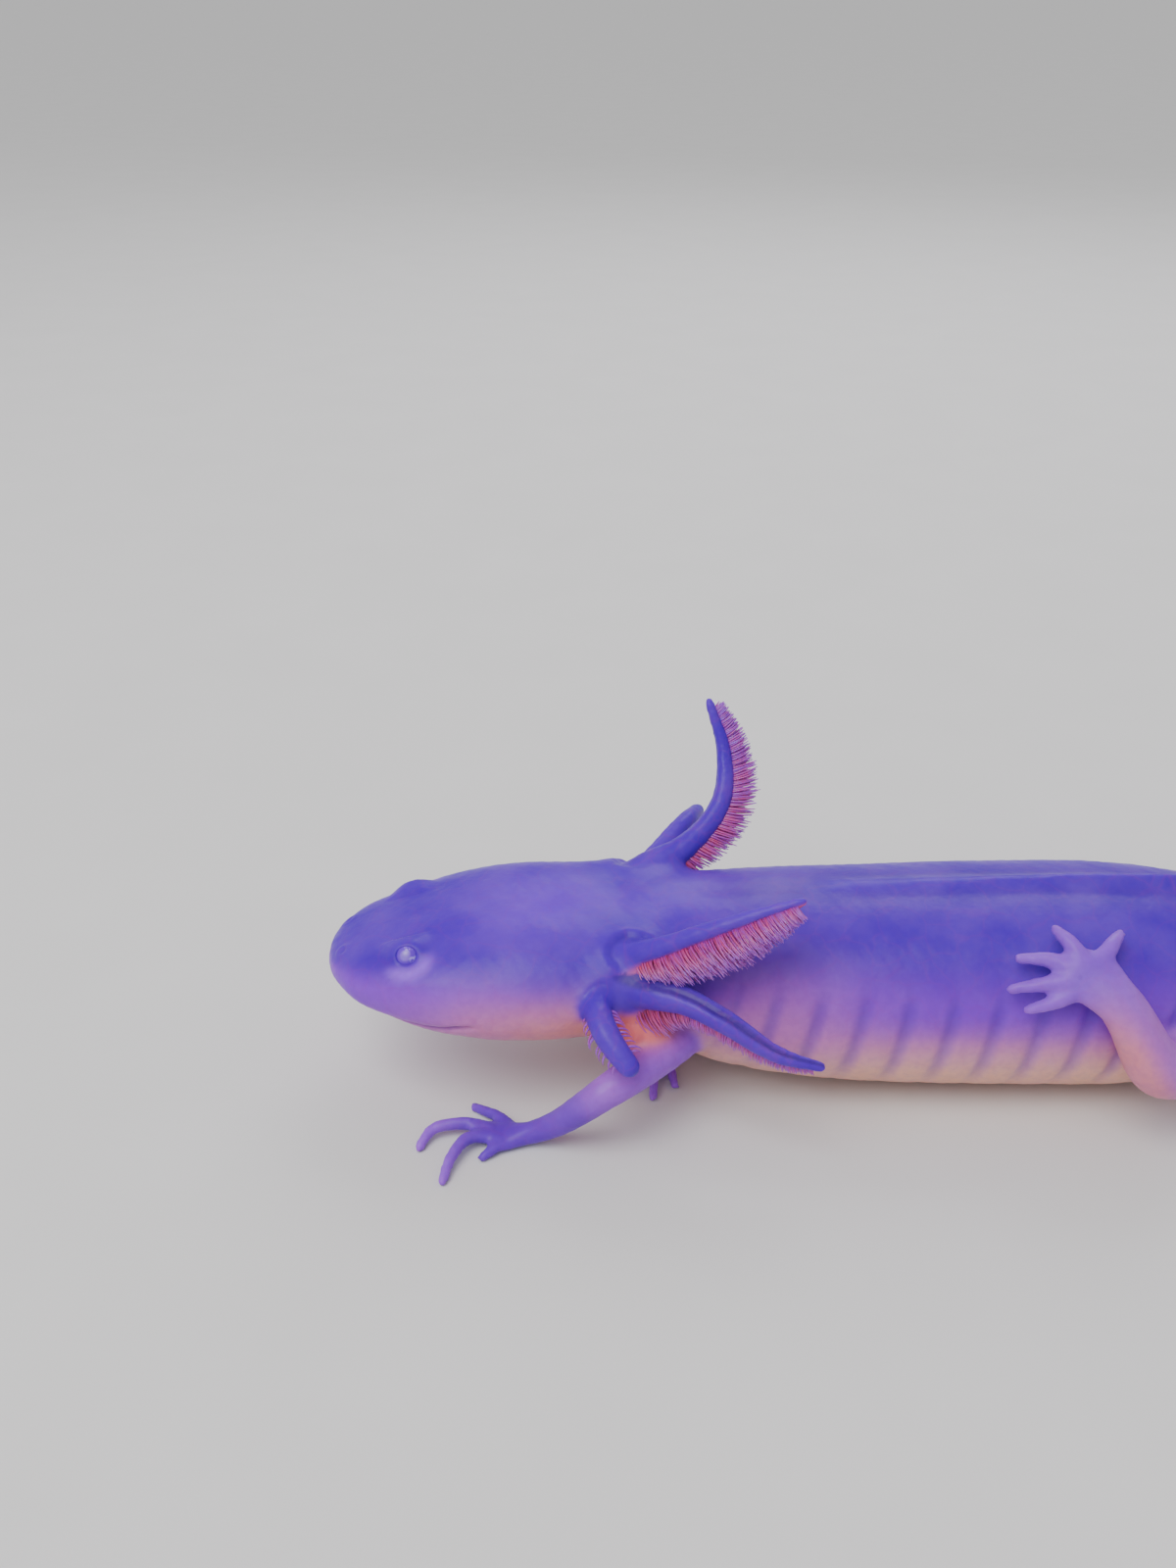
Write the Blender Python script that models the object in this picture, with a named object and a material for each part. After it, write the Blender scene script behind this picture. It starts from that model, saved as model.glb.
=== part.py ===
"""A life-size axolotl (Ambystoma mexicanum) resting on the floor, built as separate closed solids.

The plan is drawn in millimetres: x runs from the snout back to the tail, y towards the animal's right
side and z up from the floor. At the end every piece is moved so that the origin lies on the floor,
under the middle of the whole animal. Neighbouring pieces keep a small gap.
"""

import math

import bpy
import numpy as np
from mathutils import Vector

MM = 0.001
GAP = 0.3
UP = np.array((0.0, 0.0, 1.0))

# A line's direction is taken over this distance each way, which rounds its bends.
BACKBONE_WINDOW = 0.5
TUBE_WINDOW = 0.6

# The backbone line: distance from the snout, then x, y, z.
SPINE = (
    (0, 0.1, 1.9, 19.5),
    (8, 8.1, 2.1, 19.2),
    (20, 20.1, 2.5, 19.1),
    (32, 32.1, 2.8, 19.3),
    (39, 39.1, 3.0, 19.4),
    (48, 48.0, 3.2, 18.3),
    (58, 57.9, 3.4, 16.3),
    (72, 71.9, 3.5, 15.2),
    (95, 94.9, 3.6, 15.0),
    (110, 109.9, 3.6, 15.0),
    (125, 124.9, 3.7, 14.5),
    (145, 144.8, 5.4, 12.9),
    (170, 169.0, 10.6, 12.2),
    (195, 192.8, 18.2, 11.2),
    (220, 216.6, 25.6, 9.2),
    (245, 240.9, 30.0, 6.4),
)

# Sections across the backbone: distance from the snout, half width, height above, depth below.
BODY = (
    (0.0, 0.0, 0.0, 0.0),
    (0.7, 4.4, 1.8, 1.8),
    (2.2, 7.2, 3.0, 2.9),
    (5.0, 10.4, 4.5, 4.5),
    (10.0, 13.2, 6.2, 6.1),
    (15.0, 15.3, 7.6, 7.5),
    (20.0, 16.6, 8.7, 8.5),
    (26.0, 17.4, 9.2, 9.1),
    (32.0, 17.6, 9.3, 9.1),
    (37.0, 17.1, 9.3, 9.0),
    (41.0, 16.0, 9.6, 9.3),
    (45.0, 14.4, 10.3, 10.0),
    (50.0, 13.7, 11.5, 11.0),
    (56.0, 14.8, 12.9, 12.6),
    (64.0, 15.9, 13.9, 13.8),
    (75.0, 16.7, 14.6, 14.7),
    (95.0, 17.5, 15.1, 15.2),
    (110.0, 17.6, 15.2, 15.3),
    (118.0, 16.8, 15.1, 15.1),
    (126.0, 14.9, 14.6, 14.4),
    (134.0, 12.5, 13.5, 13.2),
    (142.0, 10.5, 12.2, 11.8),
    (152.0, 8.8, 10.7, 10.2),
    (170.0, 6.8, 8.5, 7.9),
    (190.0, 5.2, 6.7, 6.2),
    (210.0, 3.7, 5.0, 4.7),
    (230.0, 2.2, 3.1, 2.9),
    (245.0, 0.7, 1.0, 1.0),
)
SECTION_POWER = 2.2

# How far the fins stand beyond the flesh: distance from the snout, fin height.
TOP_FIN = (
    (74, 0.7), (100, 1.5), (125, 3.0), (145, 5.4), (165, 7.6), (190, 8.8), (210, 8.4), (230, 6.0), (243, 2.6),
)
BOTTOM_FIN = ((140, 0.7), (155, 2.6), (175, 4.4), (200, 5.6), (220, 5.0), (236, 3.4), (243, 1.6))

# A fin's section: half thicknesses at its root and edge, the root's limit as a share of the flesh's half
# width, and the heights (as shares of the fin's) where it has thinned to FIN_WAIST and begins to round.
FIN_HALF_ROOT, FIN_HALF_EDGE = 1.3, 0.45
FIN_ROOT_LIMIT = 0.6
FIN_WAIST, FIN_WAIST_HEIGHT, FIN_EDGE_HEIGHT = 0.55, 0.35, 0.94

# Where the body is parted across the backbone: each length's name, start, end, rings and sides. The
# head's first ring lies just behind its tip.
SNOUT_RING = 0.12
BODY_LENGTHS = (
    ("head", 0.0, 43.0, 15, 28),
    ("neck", 43.0, 53.0, 4, 28),
    ("trunk_front", 53.0, 86.0, 6, 28),
    ("trunk_rear", 86.0, 119.0, 6, 28),
    ("hips", 119.0, 137.0, 5, 28),
    ("tail_base", 137.0, 172.0, 6, 18),
    ("tail_middle", 172.0, 208.0, 6, 16),
    ("tail_tip", 208.0, 245.0, 8, 14),
)
# Each length of fin: its name, heights, side of the backbone, start, end and rings.
FIN_LENGTHS = (
    ("fin_back", TOP_FIN, 1, 74.0, 137.0, 10),
    ("fin_top_base", TOP_FIN, 1, 137.0, 172.0, 7),
    ("fin_top_middle", TOP_FIN, 1, 172.0, 208.0, 7),
    ("fin_top_tip", TOP_FIN, 1, 208.0, 243.0, 9),
    ("fin_bottom_base", BOTTOM_FIN, -1, 140.0, 172.0, 7),
    ("fin_bottom_middle", BOTTOM_FIN, -1, 172.0, 208.0, 7),
    ("fin_bottom_tip", BOTTOM_FIN, -1, 208.0, 243.0, 9),
)

# The closed mouth: how far back it reaches and its height. The cut's box reaches past the head.
MOUTH_CORNER = 20.0
MOUTH_HEIGHT = 16.4
PAST_HEAD = 30.0

EYE_RADIUS = 1.9
EYE_PLACES = {"left": (12.7, -6.3, 24.2), "right": (12.3, 10.9, 24.0)}

# A limb: points from inside the body to the middle of the palm, then half widths, half thicknesses
# and the direction of the palm's width. The elbow and wrist are its third and fourth points.
# Each digit: points from inside the palm to the tip. Then their half thickness, and how much of it
# they have at the base.
LIMBS = {
    "arm_left": {
        "path": (
            (54.0, -4.5, 12.4), (48.6, -12.2, 12.2), (41.0, -19.0, 10.8),
            (29.9, -17.6, 2.0), (26.2, -17.4, 1.1),
        ),
        "width": (3.6, 3.0, 2.4, 1.6, 2.9),
        "thick": (3.8, 3.0, 2.4, 1.6, 1.2),
        "across": (0.2, 0.97, 0.1),
        "digits": (
            ((28.0, -16.6, 1.2), (25.0, -13.4, 1.3), (21.5, -10.5, 0.65)),
            ((26.4, -16.8, 1.2), (19.2, -15.7, 2.0), (15.8, -16.6, 1.6), (14.2, -19.1, 0.6)),
            ((26.2, -17.8, 1.2), (21.0, -18.8, 1.9), (18.9, -22.4, 1.5), (18.0, -26.0, 0.6)),
            ((26.6, -18.4, 1.2), (25.0, -19.8, 1.2), (23.2, -21.2, 0.65)),
        ),
        "digit_radius": 1.05, "digit_base": 1.0,
    },
    "arm_right": {
        "path": (
            (54.0, 9.5, 12.0), (56.0, 16.8, 10.8), (54.2, 17.4, 4.8),
            (49.6, 6.4, 2.1), (48.2, 0.8, 1.1),
        ),
        "width": (3.7, 3.1, 2.6, 1.7, 2.9),
        "thick": (3.8, 3.1, 2.5, 1.7, 1.2),
        "across": (0.94, -0.3, 0.1),
        "digits": (
            ((48.2, 1.2, 1.2), (45.2, -0.4, 1.2), (42.6, -1.6, 0.65)),
            ((47.8, 0.6, 1.2), (45.8, -3.2, 1.5), (44.6, -6.6, 0.6)),
            ((48.2, 0.6, 1.2), (47.8, -4.0, 1.6), (47.4, -8.2, 0.6)),
            ((49.0, 0.8, 1.2), (50.2, -2.6, 1.2), (50.8, -5.6, 0.65)),
        ),
        "digit_radius": 0.95, "digit_base": 1.0,
    },
    "leg_left": {
        "path": (
            (129.0, -2.4, 11.4), (124.6, -11.2, 11.6), (116.4, -17.8, 13.6),
            (109.8, -16.2, 23.2), (106.0, -13.9, 26.4),
        ),
        "width": (5.4, 4.8, 4.1, 3.2, 4.3),
        "thick": (5.4, 4.7, 3.9, 2.6, 1.4),
        "across": (0.75, 0.43, 0.49),
        "digits": (
            ((107.0, -13.4, 27.0), (109.6, -10.6, 29.0), (111.2, -8.6, 29.4)),
            ((105.6, -13.2, 27.0), (103.6, -10.6, 29.4), (102.0, -8.8, 30.3)),
            ((104.8, -13.6, 26.6), (100.8, -12.0, 27.4), (96.8, -11.6, 27.4)),
            ((104.8, -14.2, 25.8), (100.2, -14.2, 25.0), (95.6, -14.0, 24.0)),
            ((105.4, -14.6, 25.2), (101.6, -15.6, 23.2), (98.0, -15.2, 21.4)),
        ),
        "digit_radius": 1.05, "digit_base": 1.45,
    },
    "leg_right": {
        "path": (
            (129.0, 8.8, 10.5), (125.4, 17.4, 9.8), (117.4, 25.4, 6.8),
            (122.4, 32.2, 2.6), (122.0, 37.0, 1.2),
        ),
        "width": (5.4, 4.8, 3.8, 2.9, 4.2),
        "thick": (5.4, 4.5, 3.6, 2.4, 1.3),
        "across": (1.0, 0.1, 0.0),
        "digits": (
            ((120.8, 36.0, 1.3), (117.2, 37.6, 1.3), (114.0, 38.8, 0.7)),
            ((121.2, 37.2, 1.3), (118.2, 41.2, 1.7), (115.4, 44.8, 0.65)),
            ((122.0, 37.6, 1.3), (121.2, 42.4, 1.7), (120.2, 46.8, 0.65)),
            ((122.8, 37.4, 1.3), (124.4, 41.8, 1.7), (125.8, 45.8, 0.65)),
            ((123.2, 36.4, 1.3), (126.4, 39.2, 1.3), (129.0, 41.6, 0.7)),
        ),
        "digit_radius": 1.05, "digit_base": 1.3,
    },
}
LIMB_PARTS = (("upper", 0, 2), ("lower", 2, 3))
LIMB_RINGS, LIMB_SIDES = 6, 12
PALM_RINGS = 4
DIGIT_RINGS, DIGIT_SIDES = 5, 7
DIGIT_TIP = 0.66

# A round end's last ring: its size and its distance along, as shares of the tube's end and the dome.
DOME_SIZE, DOME_SHARE = 0.75, 0.66

# A gill: points along its stalk from inside the neck to the tip, the way its fringe hangs, the half
# thickness of the stalk, how much of that its tip keeps, and the length and spread (in degrees) of its
# two rows of filaments.
GILLS = {
    "gill_left_upper": {
        "path": (
            (39.0, -4.5, 21.6), (43.6, -8.6, 25.6), (47.5, -10.1, 27.8),
            (53.8, -11.5, 31.4), (63.4, -12.5, 36.0), (66.6, -12.6, 37.2),
        ),
        "hang": (0.25, -0.60, -0.76),
        "radius": 1.75, "blunt": 0.0, "length": 4.3, "spread": 28.0, "start": 0.34,
    },
    "gill_left_middle": {
        "path": (
            (40.0, -7.0, 20.6), (44.7, -11.7, 22.1), (51.2, -15.2, 22.8),
            (55.7, -18.0, 21.9), (64.2, -21.0, 17.8), (69.2, -21.6, 16.7),
        ),
        "hang": (0.0, 0.45, -0.88),
        "radius": 1.9, "blunt": 0.0, "length": 3.2, "spread": 42.0, "start": 0.30,
    },
    "gill_left_lower": {
        "path": (
            (37.8, -6.5, 20.2), (39.2, -11.2, 21.4), (39.3, -15.2, 21.0),
            (40.4, -18.6, 19.8), (42.0, -20.6, 18.2), (43.4, -21.8, 16.9),
        ),
        "hang": (0.1, 0.78, -0.62),
        "radius": 2.1, "blunt": 0.55, "length": 2.6, "spread": 62.0, "start": 0.40,
    },
    "gill_right_upper": {
        "path": (
            (40.5, 10.5, 22.0), (45.5, 12.6, 26.4), (52.0, 15.0, 29.0),
            (58.2, 20.0, 34.8), (58.7, 24.4, 40.6), (56.4, 27.6, 47.8),
        ),
        "hang": (0.86, 0.10, -0.30),
        "radius": 1.85, "blunt": 0.0, "length": 3.8, "spread": 30.0, "start": 0.30,
    },
    "gill_right_middle": {
        "path": (
            (40.0, 11.5, 19.6), (45.4, 16.6, 23.2), (49.8, 20.6, 26.4),
            (53.4, 25.4, 28.2), (55.4, 30.4, 27.2),
        ),
        "hang": (0.50, -0.1, -0.86),
        "radius": 1.9, "blunt": 0.4, "length": 3.4, "spread": 36.0, "start": 0.30,
    },
    "gill_right_lower": {
        "path": (
            (37.4, 11.0, 18.0), (39.4, 17.0, 18.8), (42.2, 21.8, 18.4),
            (45.6, 26.4, 17.2), (48.6, 30.4, 15.4),
        ),
        "hang": (0.15, -0.1, -0.98),
        "radius": 1.85, "blunt": 0.2, "length": 3.0, "spread": 42.0, "start": 0.34,
    },
}
STALK_TAPER = ((0.0, 1.15), (0.2, 1.05), (0.6, 0.84), (0.85, 0.56), (1.0, 0.36))
FRINGE_TAPER = ((0.0, 0.45), (0.25, 0.92), (0.5, 1.0), (0.8, 0.7), (1.0, 0.4))
FRINGE_END = 0.95
GILL_RINGS, GILL_SIDES = 9, 10

# A fringe's section: its root's half width as a share of the stalk's radius, then the depth of its
# widest place and the width of its outer edge as shares of its depth and width.
FRINGE_ROOT, FRINGE_BELLY, FRINGE_EDGE = 0.5, 0.85, 0.7

COLOURS = {
    "skin": ((0.86, 0.66, 0.68), 0.35),
    "fin": ((0.88, 0.70, 0.74), 0.35),
    "gill": ((0.80, 0.50, 0.58), 0.35),
    "fringe": ((0.78, 0.24, 0.20), 0.45),
    "eye": ((0.80, 0.62, 0.62), 0.10),
}


# ---------------------------------------------------------------- curves and lofts


def slopes(at, values):
    """Slopes at the knots of a smooth curve that doesn't overshoot its values."""
    step = np.diff(at)
    rise = np.diff(values) / step
    found = np.empty(len(values))
    found[0], found[-1] = rise[0], rise[-1]
    for i in range(1, len(values) - 1):
        a, b = rise[i - 1], rise[i]
        found[i] = 0.0 if a * b <= 0 else 3 * (step[i - 1] + step[i]) / (
            (2 * step[i] + step[i - 1]) / a + (step[i] + 2 * step[i - 1]) / b
        )
    return found


def central_slopes(at, values):
    """Slopes at the knots of a smooth curve through points in space."""
    return np.gradient(np.asarray(values, float), np.asarray(at, float))


def eased(at, values, where, slope_rule=slopes):
    """A smooth curve's values, through the given values at the given places."""
    at, values = np.asarray(at, float), np.asarray(values, float)
    slope = slope_rule(at, values)
    i = np.clip(np.searchsorted(at, where, side="right") - 1, 0, len(at) - 2)
    step = at[i + 1] - at[i]
    t = np.clip((where - at[i]) / step, 0.0, 1.0)
    return (
        values[i] * (1 + 2 * t) * (1 - t) ** 2
        + slope[i] * step * t * (1 - t) ** 2
        + values[i + 1] * t * t * (3 - 2 * t)
        + slope[i + 1] * step * t * t * (t - 1)
    )


def backbone(s):
    """A point of the backbone and its frame: along, across and up."""
    at = [row[0] for row in SPINE]
    near = s + np.array((-BACKBONE_WINDOW, 0.0, BACKBONE_WINDOW))
    line = np.stack([eased(at, [row[k] for row in SPINE], near, central_slopes) for k in (1, 2, 3)], axis=1)
    along = line[2] - line[0]
    along /= np.linalg.norm(along)
    across = np.cross(UP, along)
    across /= np.linalg.norm(across)
    return line[1], across, np.cross(along, across)


def body_size(s):
    """Half width, height above and depth below the backbone. The root of s keeps the snout round."""
    at = np.sqrt([row[0] for row in BODY])
    return [float(eased(at, [row[k] for row in BODY], math.sqrt(s))) for k in (1, 2, 3)]


def body_ring(s, sides, grow=0.0):
    """One rounded section of the body, pressed flat where it meets the floor."""
    centre, across, up = backbone(s)
    width, above, below = (size + grow for size in body_size(s))
    ring = []
    for k in range(sides):
        angle = 2 * math.pi * (k + 0.5) / sides
        c, d = math.cos(angle), math.sin(angle)
        y = width * math.copysign(abs(c) ** (2 / SECTION_POWER), c)
        z = (above if d > 0 else below) * math.copysign(abs(d) ** (2 / SECTION_POWER), d)
        ring.append(centre + across * y + up * z)
    return floored(np.array(ring), -grow)


def floored(points, level=0.0):
    """Points pressed up to the floor's level."""
    points[:, 2] = np.maximum(points[:, 2], level)
    return points


def lofted(name, rings, first=None, last=None):
    """A closed mesh through rings of points, its ends flat or drawn to a point."""
    sides = len(rings[0])
    points = [p for ring in rings for p in ring]
    faces = []
    for r in range(len(rings) - 1):
        for k in range(sides):
            a, b = r * sides + k, r * sides + (k + 1) % sides
            faces.append((a, b, b + sides, a + sides))
    for pole, ring, turn in ((first, 0, 1), (last, len(rings) - 1, -1)):
        corners = [ring * sides + k for k in range(sides)][::-turn]
        if pole is None:
            faces.append(tuple(corners))
            continue
        points.append(pole)
        faces += [(corners[k], corners[(k + 1) % sides], len(points) - 1) for k in range(sides)]
    mesh = bpy.data.meshes.new(name)
    mesh.from_pydata([Vector(p) * MM for p in points], [], faces)
    mesh.validate()
    return mesh


class Tube:
    """A smooth line through points, with an oval section that changes along it."""

    def __init__(self, path, width, thick, across, shares=None):
        self.path = np.asarray(path, float)
        self.at = np.concatenate(([0.0], np.cumsum(np.linalg.norm(np.diff(self.path, axis=0), axis=1))))
        self.size_at = self.at if shares is None else np.asarray(shares) * self.at[-1]
        self.width, self.thick = width, thick
        self.across = np.asarray(across, float)

    def place(self, s):
        """A point of the line with the directions along it, of its width and of its thickness."""
        near = s + np.array((-TUBE_WINDOW, 0.0, TUBE_WINDOW))
        line = np.stack([eased(self.at, self.path[:, k], near, central_slopes) for k in range(3)], axis=1)
        along = line[2] - line[0]
        along /= np.linalg.norm(along)
        side = self.across - along * (self.across @ along)
        side /= np.linalg.norm(side)
        return line[1], along, side, np.cross(along, side)

    def size(self, s):
        """Half width and half thickness at a distance along the line."""
        return float(eased(self.size_at, self.width, s)), float(eased(self.size_at, self.thick, s))

    def ring(self, s, sides, shrink=1.0, shift=0.0):
        """One section, which can be smaller and moved along the line's direction."""
        centre, along, side, normal = self.place(s)
        width, thick = self.size(s)
        turns = [2 * math.pi * (k + 0.5) / sides for k in range(sides)]
        return floored(
            np.array([
                centre + along * shift + (side * width * math.cos(a) + normal * thick * math.sin(a)) * shrink
                for a in turns
            ])
        )

    def mesh(self, name, start, end, rings, sides, round_end=False):
        """The tube between two distances along it, drawn back a little from each cut.

        A round end is a dome about as deep as the tube is thick.
        """
        found = [self.ring(s, sides) for s in np.linspace(start, end, rings)]
        if start > 0:
            found[0] = self.ring(start, sides, shift=GAP / 2)
        if not round_end:
            found[-1] = self.ring(end, sides, shift=-GAP / 2)
            return lofted(name, found)
        centre, along, _, _ = self.place(end)
        dome = self.size(end)[1]
        found.append(self.ring(end, sides, DOME_SIZE, dome * DOME_SHARE))
        tip = centre + along * dome
        tip[2] = max(tip[2], 0.0)
        return lofted(name, found, last=tip)


# ---------------------------------------------------------------- objects


def material(name):
    """A finish from the table of colours."""
    found = bpy.data.materials.get(name)
    if found:
        return found
    colour, roughness = COLOURS[name]
    found = bpy.data.materials.new(name)
    found.use_nodes = True
    shader = found.node_tree.nodes["Principled BSDF"]
    shader.inputs["Base Color"].default_value = (*colour, 1.0)
    shader.inputs["Roughness"].default_value = roughness
    shader.inputs["Metallic"].default_value = 0.0
    return found


def piece(name, mesh, finish):
    """A named solid of the animal."""
    mesh.materials.append(material(finish))
    mesh.shade_smooth()
    found = bpy.data.objects.new(name, mesh)
    bpy.context.scene.collection.objects.link(found)
    return found


def helper(name, mesh):
    """A shape that only cuts or joins others."""
    found = bpy.data.objects.new(name, mesh)
    bpy.context.scene.collection.objects.link(found)
    found.hide_render = True
    found.display_type = "WIRE"
    return found


def boolean(target, other, operation):
    """Cuts another shape from a solid, joins it or keeps what they share."""
    step = target.modifiers.new(other.name, "BOOLEAN")
    step.operation = operation
    step.solver = "EXACT"
    step.object = other


def box(name, low, high):
    """A box between two corners."""
    corners = [np.array((x, y, z)) for x in (low[0], high[0]) for y, z in (
        (low[1], low[2]), (high[1], low[2]), (high[1], high[2]), (low[1], high[2]))]
    return lofted(name, [np.array(corners[:4]), np.array(corners[4:])])


def ball(name, centre, radius, rings=7, sides=12):
    """A ball whose poles lie along x."""
    centre = np.asarray(centre, float)
    turns = [math.pi * (r + 1) / (rings + 1) for r in range(rings)]
    found = [
        np.array([
            centre + radius * np.array((-math.cos(t), math.sin(t) * math.cos(a), math.sin(t) * math.sin(a)))
            for a in (2 * math.pi * k / sides for k in range(sides))
        ])
        for t in turns
    ]
    tip = np.array((radius, 0.0, 0.0))
    return lofted(name, found, centre - tip, centre + tip)


# ---------------------------------------------------------------- the animal


def body():
    """The head, neck, trunk and tail, parted across the backbone. Returns the head."""
    made = {}
    for name, start, end, rings, sides in BODY_LENGTHS:
        if start == 0:
            stations = np.linspace(math.sqrt(SNOUT_RING), math.sqrt(end - GAP / 2), rings) ** 2
            tip = backbone(0.0)[0]
        else:
            last = end if end == BODY[-1][0] else end - GAP / 2
            stations = np.linspace(start + GAP / 2, last, rings)
            tip = None
        mesh = lofted(name, [body_ring(s, sides) for s in stations], first=tip)
        made[name] = piece(name, mesh, "skin")
    return made["head"]


def fin_ring(table, side, s):
    """A section of a fin, thick at its root and thin at its edge."""
    centre, across, up = backbone(s)
    root = body_size(s)[1 if side > 0 else 2] + GAP
    height = float(eased([row[0] for row in table], [row[1] for row in table], s))
    half_root = min(FIN_HALF_ROOT, body_size(s)[0] * FIN_ROOT_LIMIT)
    waist = (half_root * FIN_WAIST, FIN_WAIST_HEIGHT)
    corners = [(half_root, 0.0), waist, (FIN_HALF_EDGE, FIN_EDGE_HEIGHT), (0.0, 1.0)]
    corners += [(-y, z) for y, z in corners[-2::-1]]
    points = [centre + across * y + up * side * (root + height * z) for y, z in corners]
    return floored(np.array(points[::-1] if side < 0 else points))


def fins():
    """The fin along the back and over the tail, and the one under the tail."""
    for name, table, side, start, end, rings in FIN_LENGTHS:
        stations = np.linspace(start + GAP / 2, end - GAP / 2, rings)
        piece(name, lofted(name, [fin_ring(table, side, s) for s in stations]), "fin")


def jaw(head):
    """The lower jaw, parted from the head along the closed mouth."""
    low, high = (-PAST_HEAD, -PAST_HEAD, -PAST_HEAD), (MOUTH_CORNER, PAST_HEAD, MOUTH_HEIGHT)
    space = helper("jaw_space", box("jaw_space", low, high))
    high = (MOUTH_CORNER - GAP, PAST_HEAD, MOUTH_HEIGHT - GAP)
    block = helper("jaw_block", box("jaw_block", low, high))
    lower = piece("lower_jaw", head.data.copy(), "skin")
    boolean(head, space, "DIFFERENCE")
    boolean(lower, block, "INTERSECT")


def eyes(head):
    """Eyeballs in pockets in the head."""
    for side, place in EYE_PLACES.items():
        piece(f"eye_{side}", ball(f"eye_{side}", place, EYE_RADIUS), "eye")
        pocket = helper(f"pocket_{side}", ball(f"pocket_{side}", place, EYE_RADIUS + GAP, 8, 14))
        boolean(head, pocket, "DIFFERENCE")


def body_cutter():
    """The body from the back of the head to the hips, a little enlarged, which trims what grows from it."""
    rings = [body_ring(s, 28, GAP) for s in np.linspace(20, 142, 36)]
    return helper("body_cutter", lofted("body_cutter", rings))


def limb(name, plan, cutter):
    """An arm or leg: the upper and lower lengths, and a palm joined with its digits."""
    tube = Tube(plan["path"], plan["width"], plan["thick"], plan["across"])
    for part, first, last in LIMB_PARTS:
        mesh = tube.mesh(f"{name}_{part}", tube.at[first], tube.at[last], LIMB_RINGS, LIMB_SIDES)
        boolean(piece(f"{name}_{part}", mesh, "skin"), cutter, "DIFFERENCE")
    palm = tube.mesh(f"{name}_palm", tube.at[3], tube.at[4], PALM_RINGS, LIMB_SIDES, round_end=True)
    hand = piece(f"{name}_palm", palm, "skin")
    radius = plan["digit_radius"]
    for i, path in enumerate(plan["digits"]):
        taper = np.linspace(plan["digit_base"], DIGIT_TIP, len(path)) * radius
        digit = Tube(path, taper, taper, UP)
        shape = digit.mesh(f"{name}_digit_{i}", 0.0, digit.at[-1], DIGIT_RINGS, DIGIT_SIDES, round_end=True)
        boolean(hand, helper(f"{name}_digit_{i}", shape), "UNION")


def gill(name, plan, cutter):
    """A gill: its stalk, and the wedge that its two rows of filaments fill."""
    shares, taper = zip(*STALK_TAPER)
    half = [plan["radius"] * (t + (1 - t) * plan["blunt"]) for t in taper]
    tube = Tube(plan["path"], half, half, plan["hang"], shares)
    length = tube.at[-1]
    stalk = piece(name, tube.mesh(name, 0.0, length, GILL_RINGS, GILL_SIDES, round_end=True), "gill")
    boolean(stalk, cutter, "DIFFERENCE")
    along, outer = zip(*FRINGE_TAPER)
    spread = math.radians(plan["spread"])
    rings = []
    for t in np.linspace(0.0, 1.0, GILL_RINGS):
        s = length * (plan["start"] + (FRINGE_END - plan["start"]) * t)
        centre, _, hang, normal = tube.place(s)
        radius = tube.size(s)[0]
        reach = plan["length"] * float(eased(along, outer, t))
        deep, wide = reach * math.cos(spread), radius * FRINGE_ROOT + reach * math.sin(spread)
        corners = ((0.0, radius * FRINGE_ROOT), (deep * FRINGE_BELLY, wide), (deep, wide * FRINGE_EDGE))
        corners += tuple((d, -w) for d, w in corners[::-1])
        root = centre + hang * (radius + GAP)
        rings.append(np.array([root + hang * d + normal * w for d, w in corners]))
    fringe = piece(f"{name}_fringe", lofted(f"{name}_fringe", rings), "fringe")
    boolean(fringe, cutter, "DIFFERENCE")


def centre_on_floor():
    """Moves everything so that the origin is under the middle of the animal's box."""
    bpy.context.view_layer.update()
    graph = bpy.context.evaluated_depsgraph_get()
    shown = [o for o in bpy.context.scene.objects if not o.hide_render]
    corners = [Vector(c) for o in shown for c in o.evaluated_get(graph).bound_box]
    middle = [(min(c[k] for c in corners) + max(c[k] for c in corners)) / 2 for k in (0, 1)]
    for o in bpy.context.scene.objects:
        o.location = (-middle[0], -middle[1], 0.0)


def main():
    """Builds the whole animal."""
    for o in list(bpy.data.objects):
        bpy.data.objects.remove(o)
    head = body()
    fins()
    jaw(head)
    eyes(head)
    cutter = body_cutter()
    for name, plan in LIMBS.items():
        limb(name, plan, cutter)
    for name, plan in GILLS.items():
        gill(name, plan, cutter)
    centre_on_floor()


main()
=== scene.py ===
import math

import bmesh
import bpy
import numpy as np
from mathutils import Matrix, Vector
from mathutils.bvhtree import BVHTree


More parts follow.
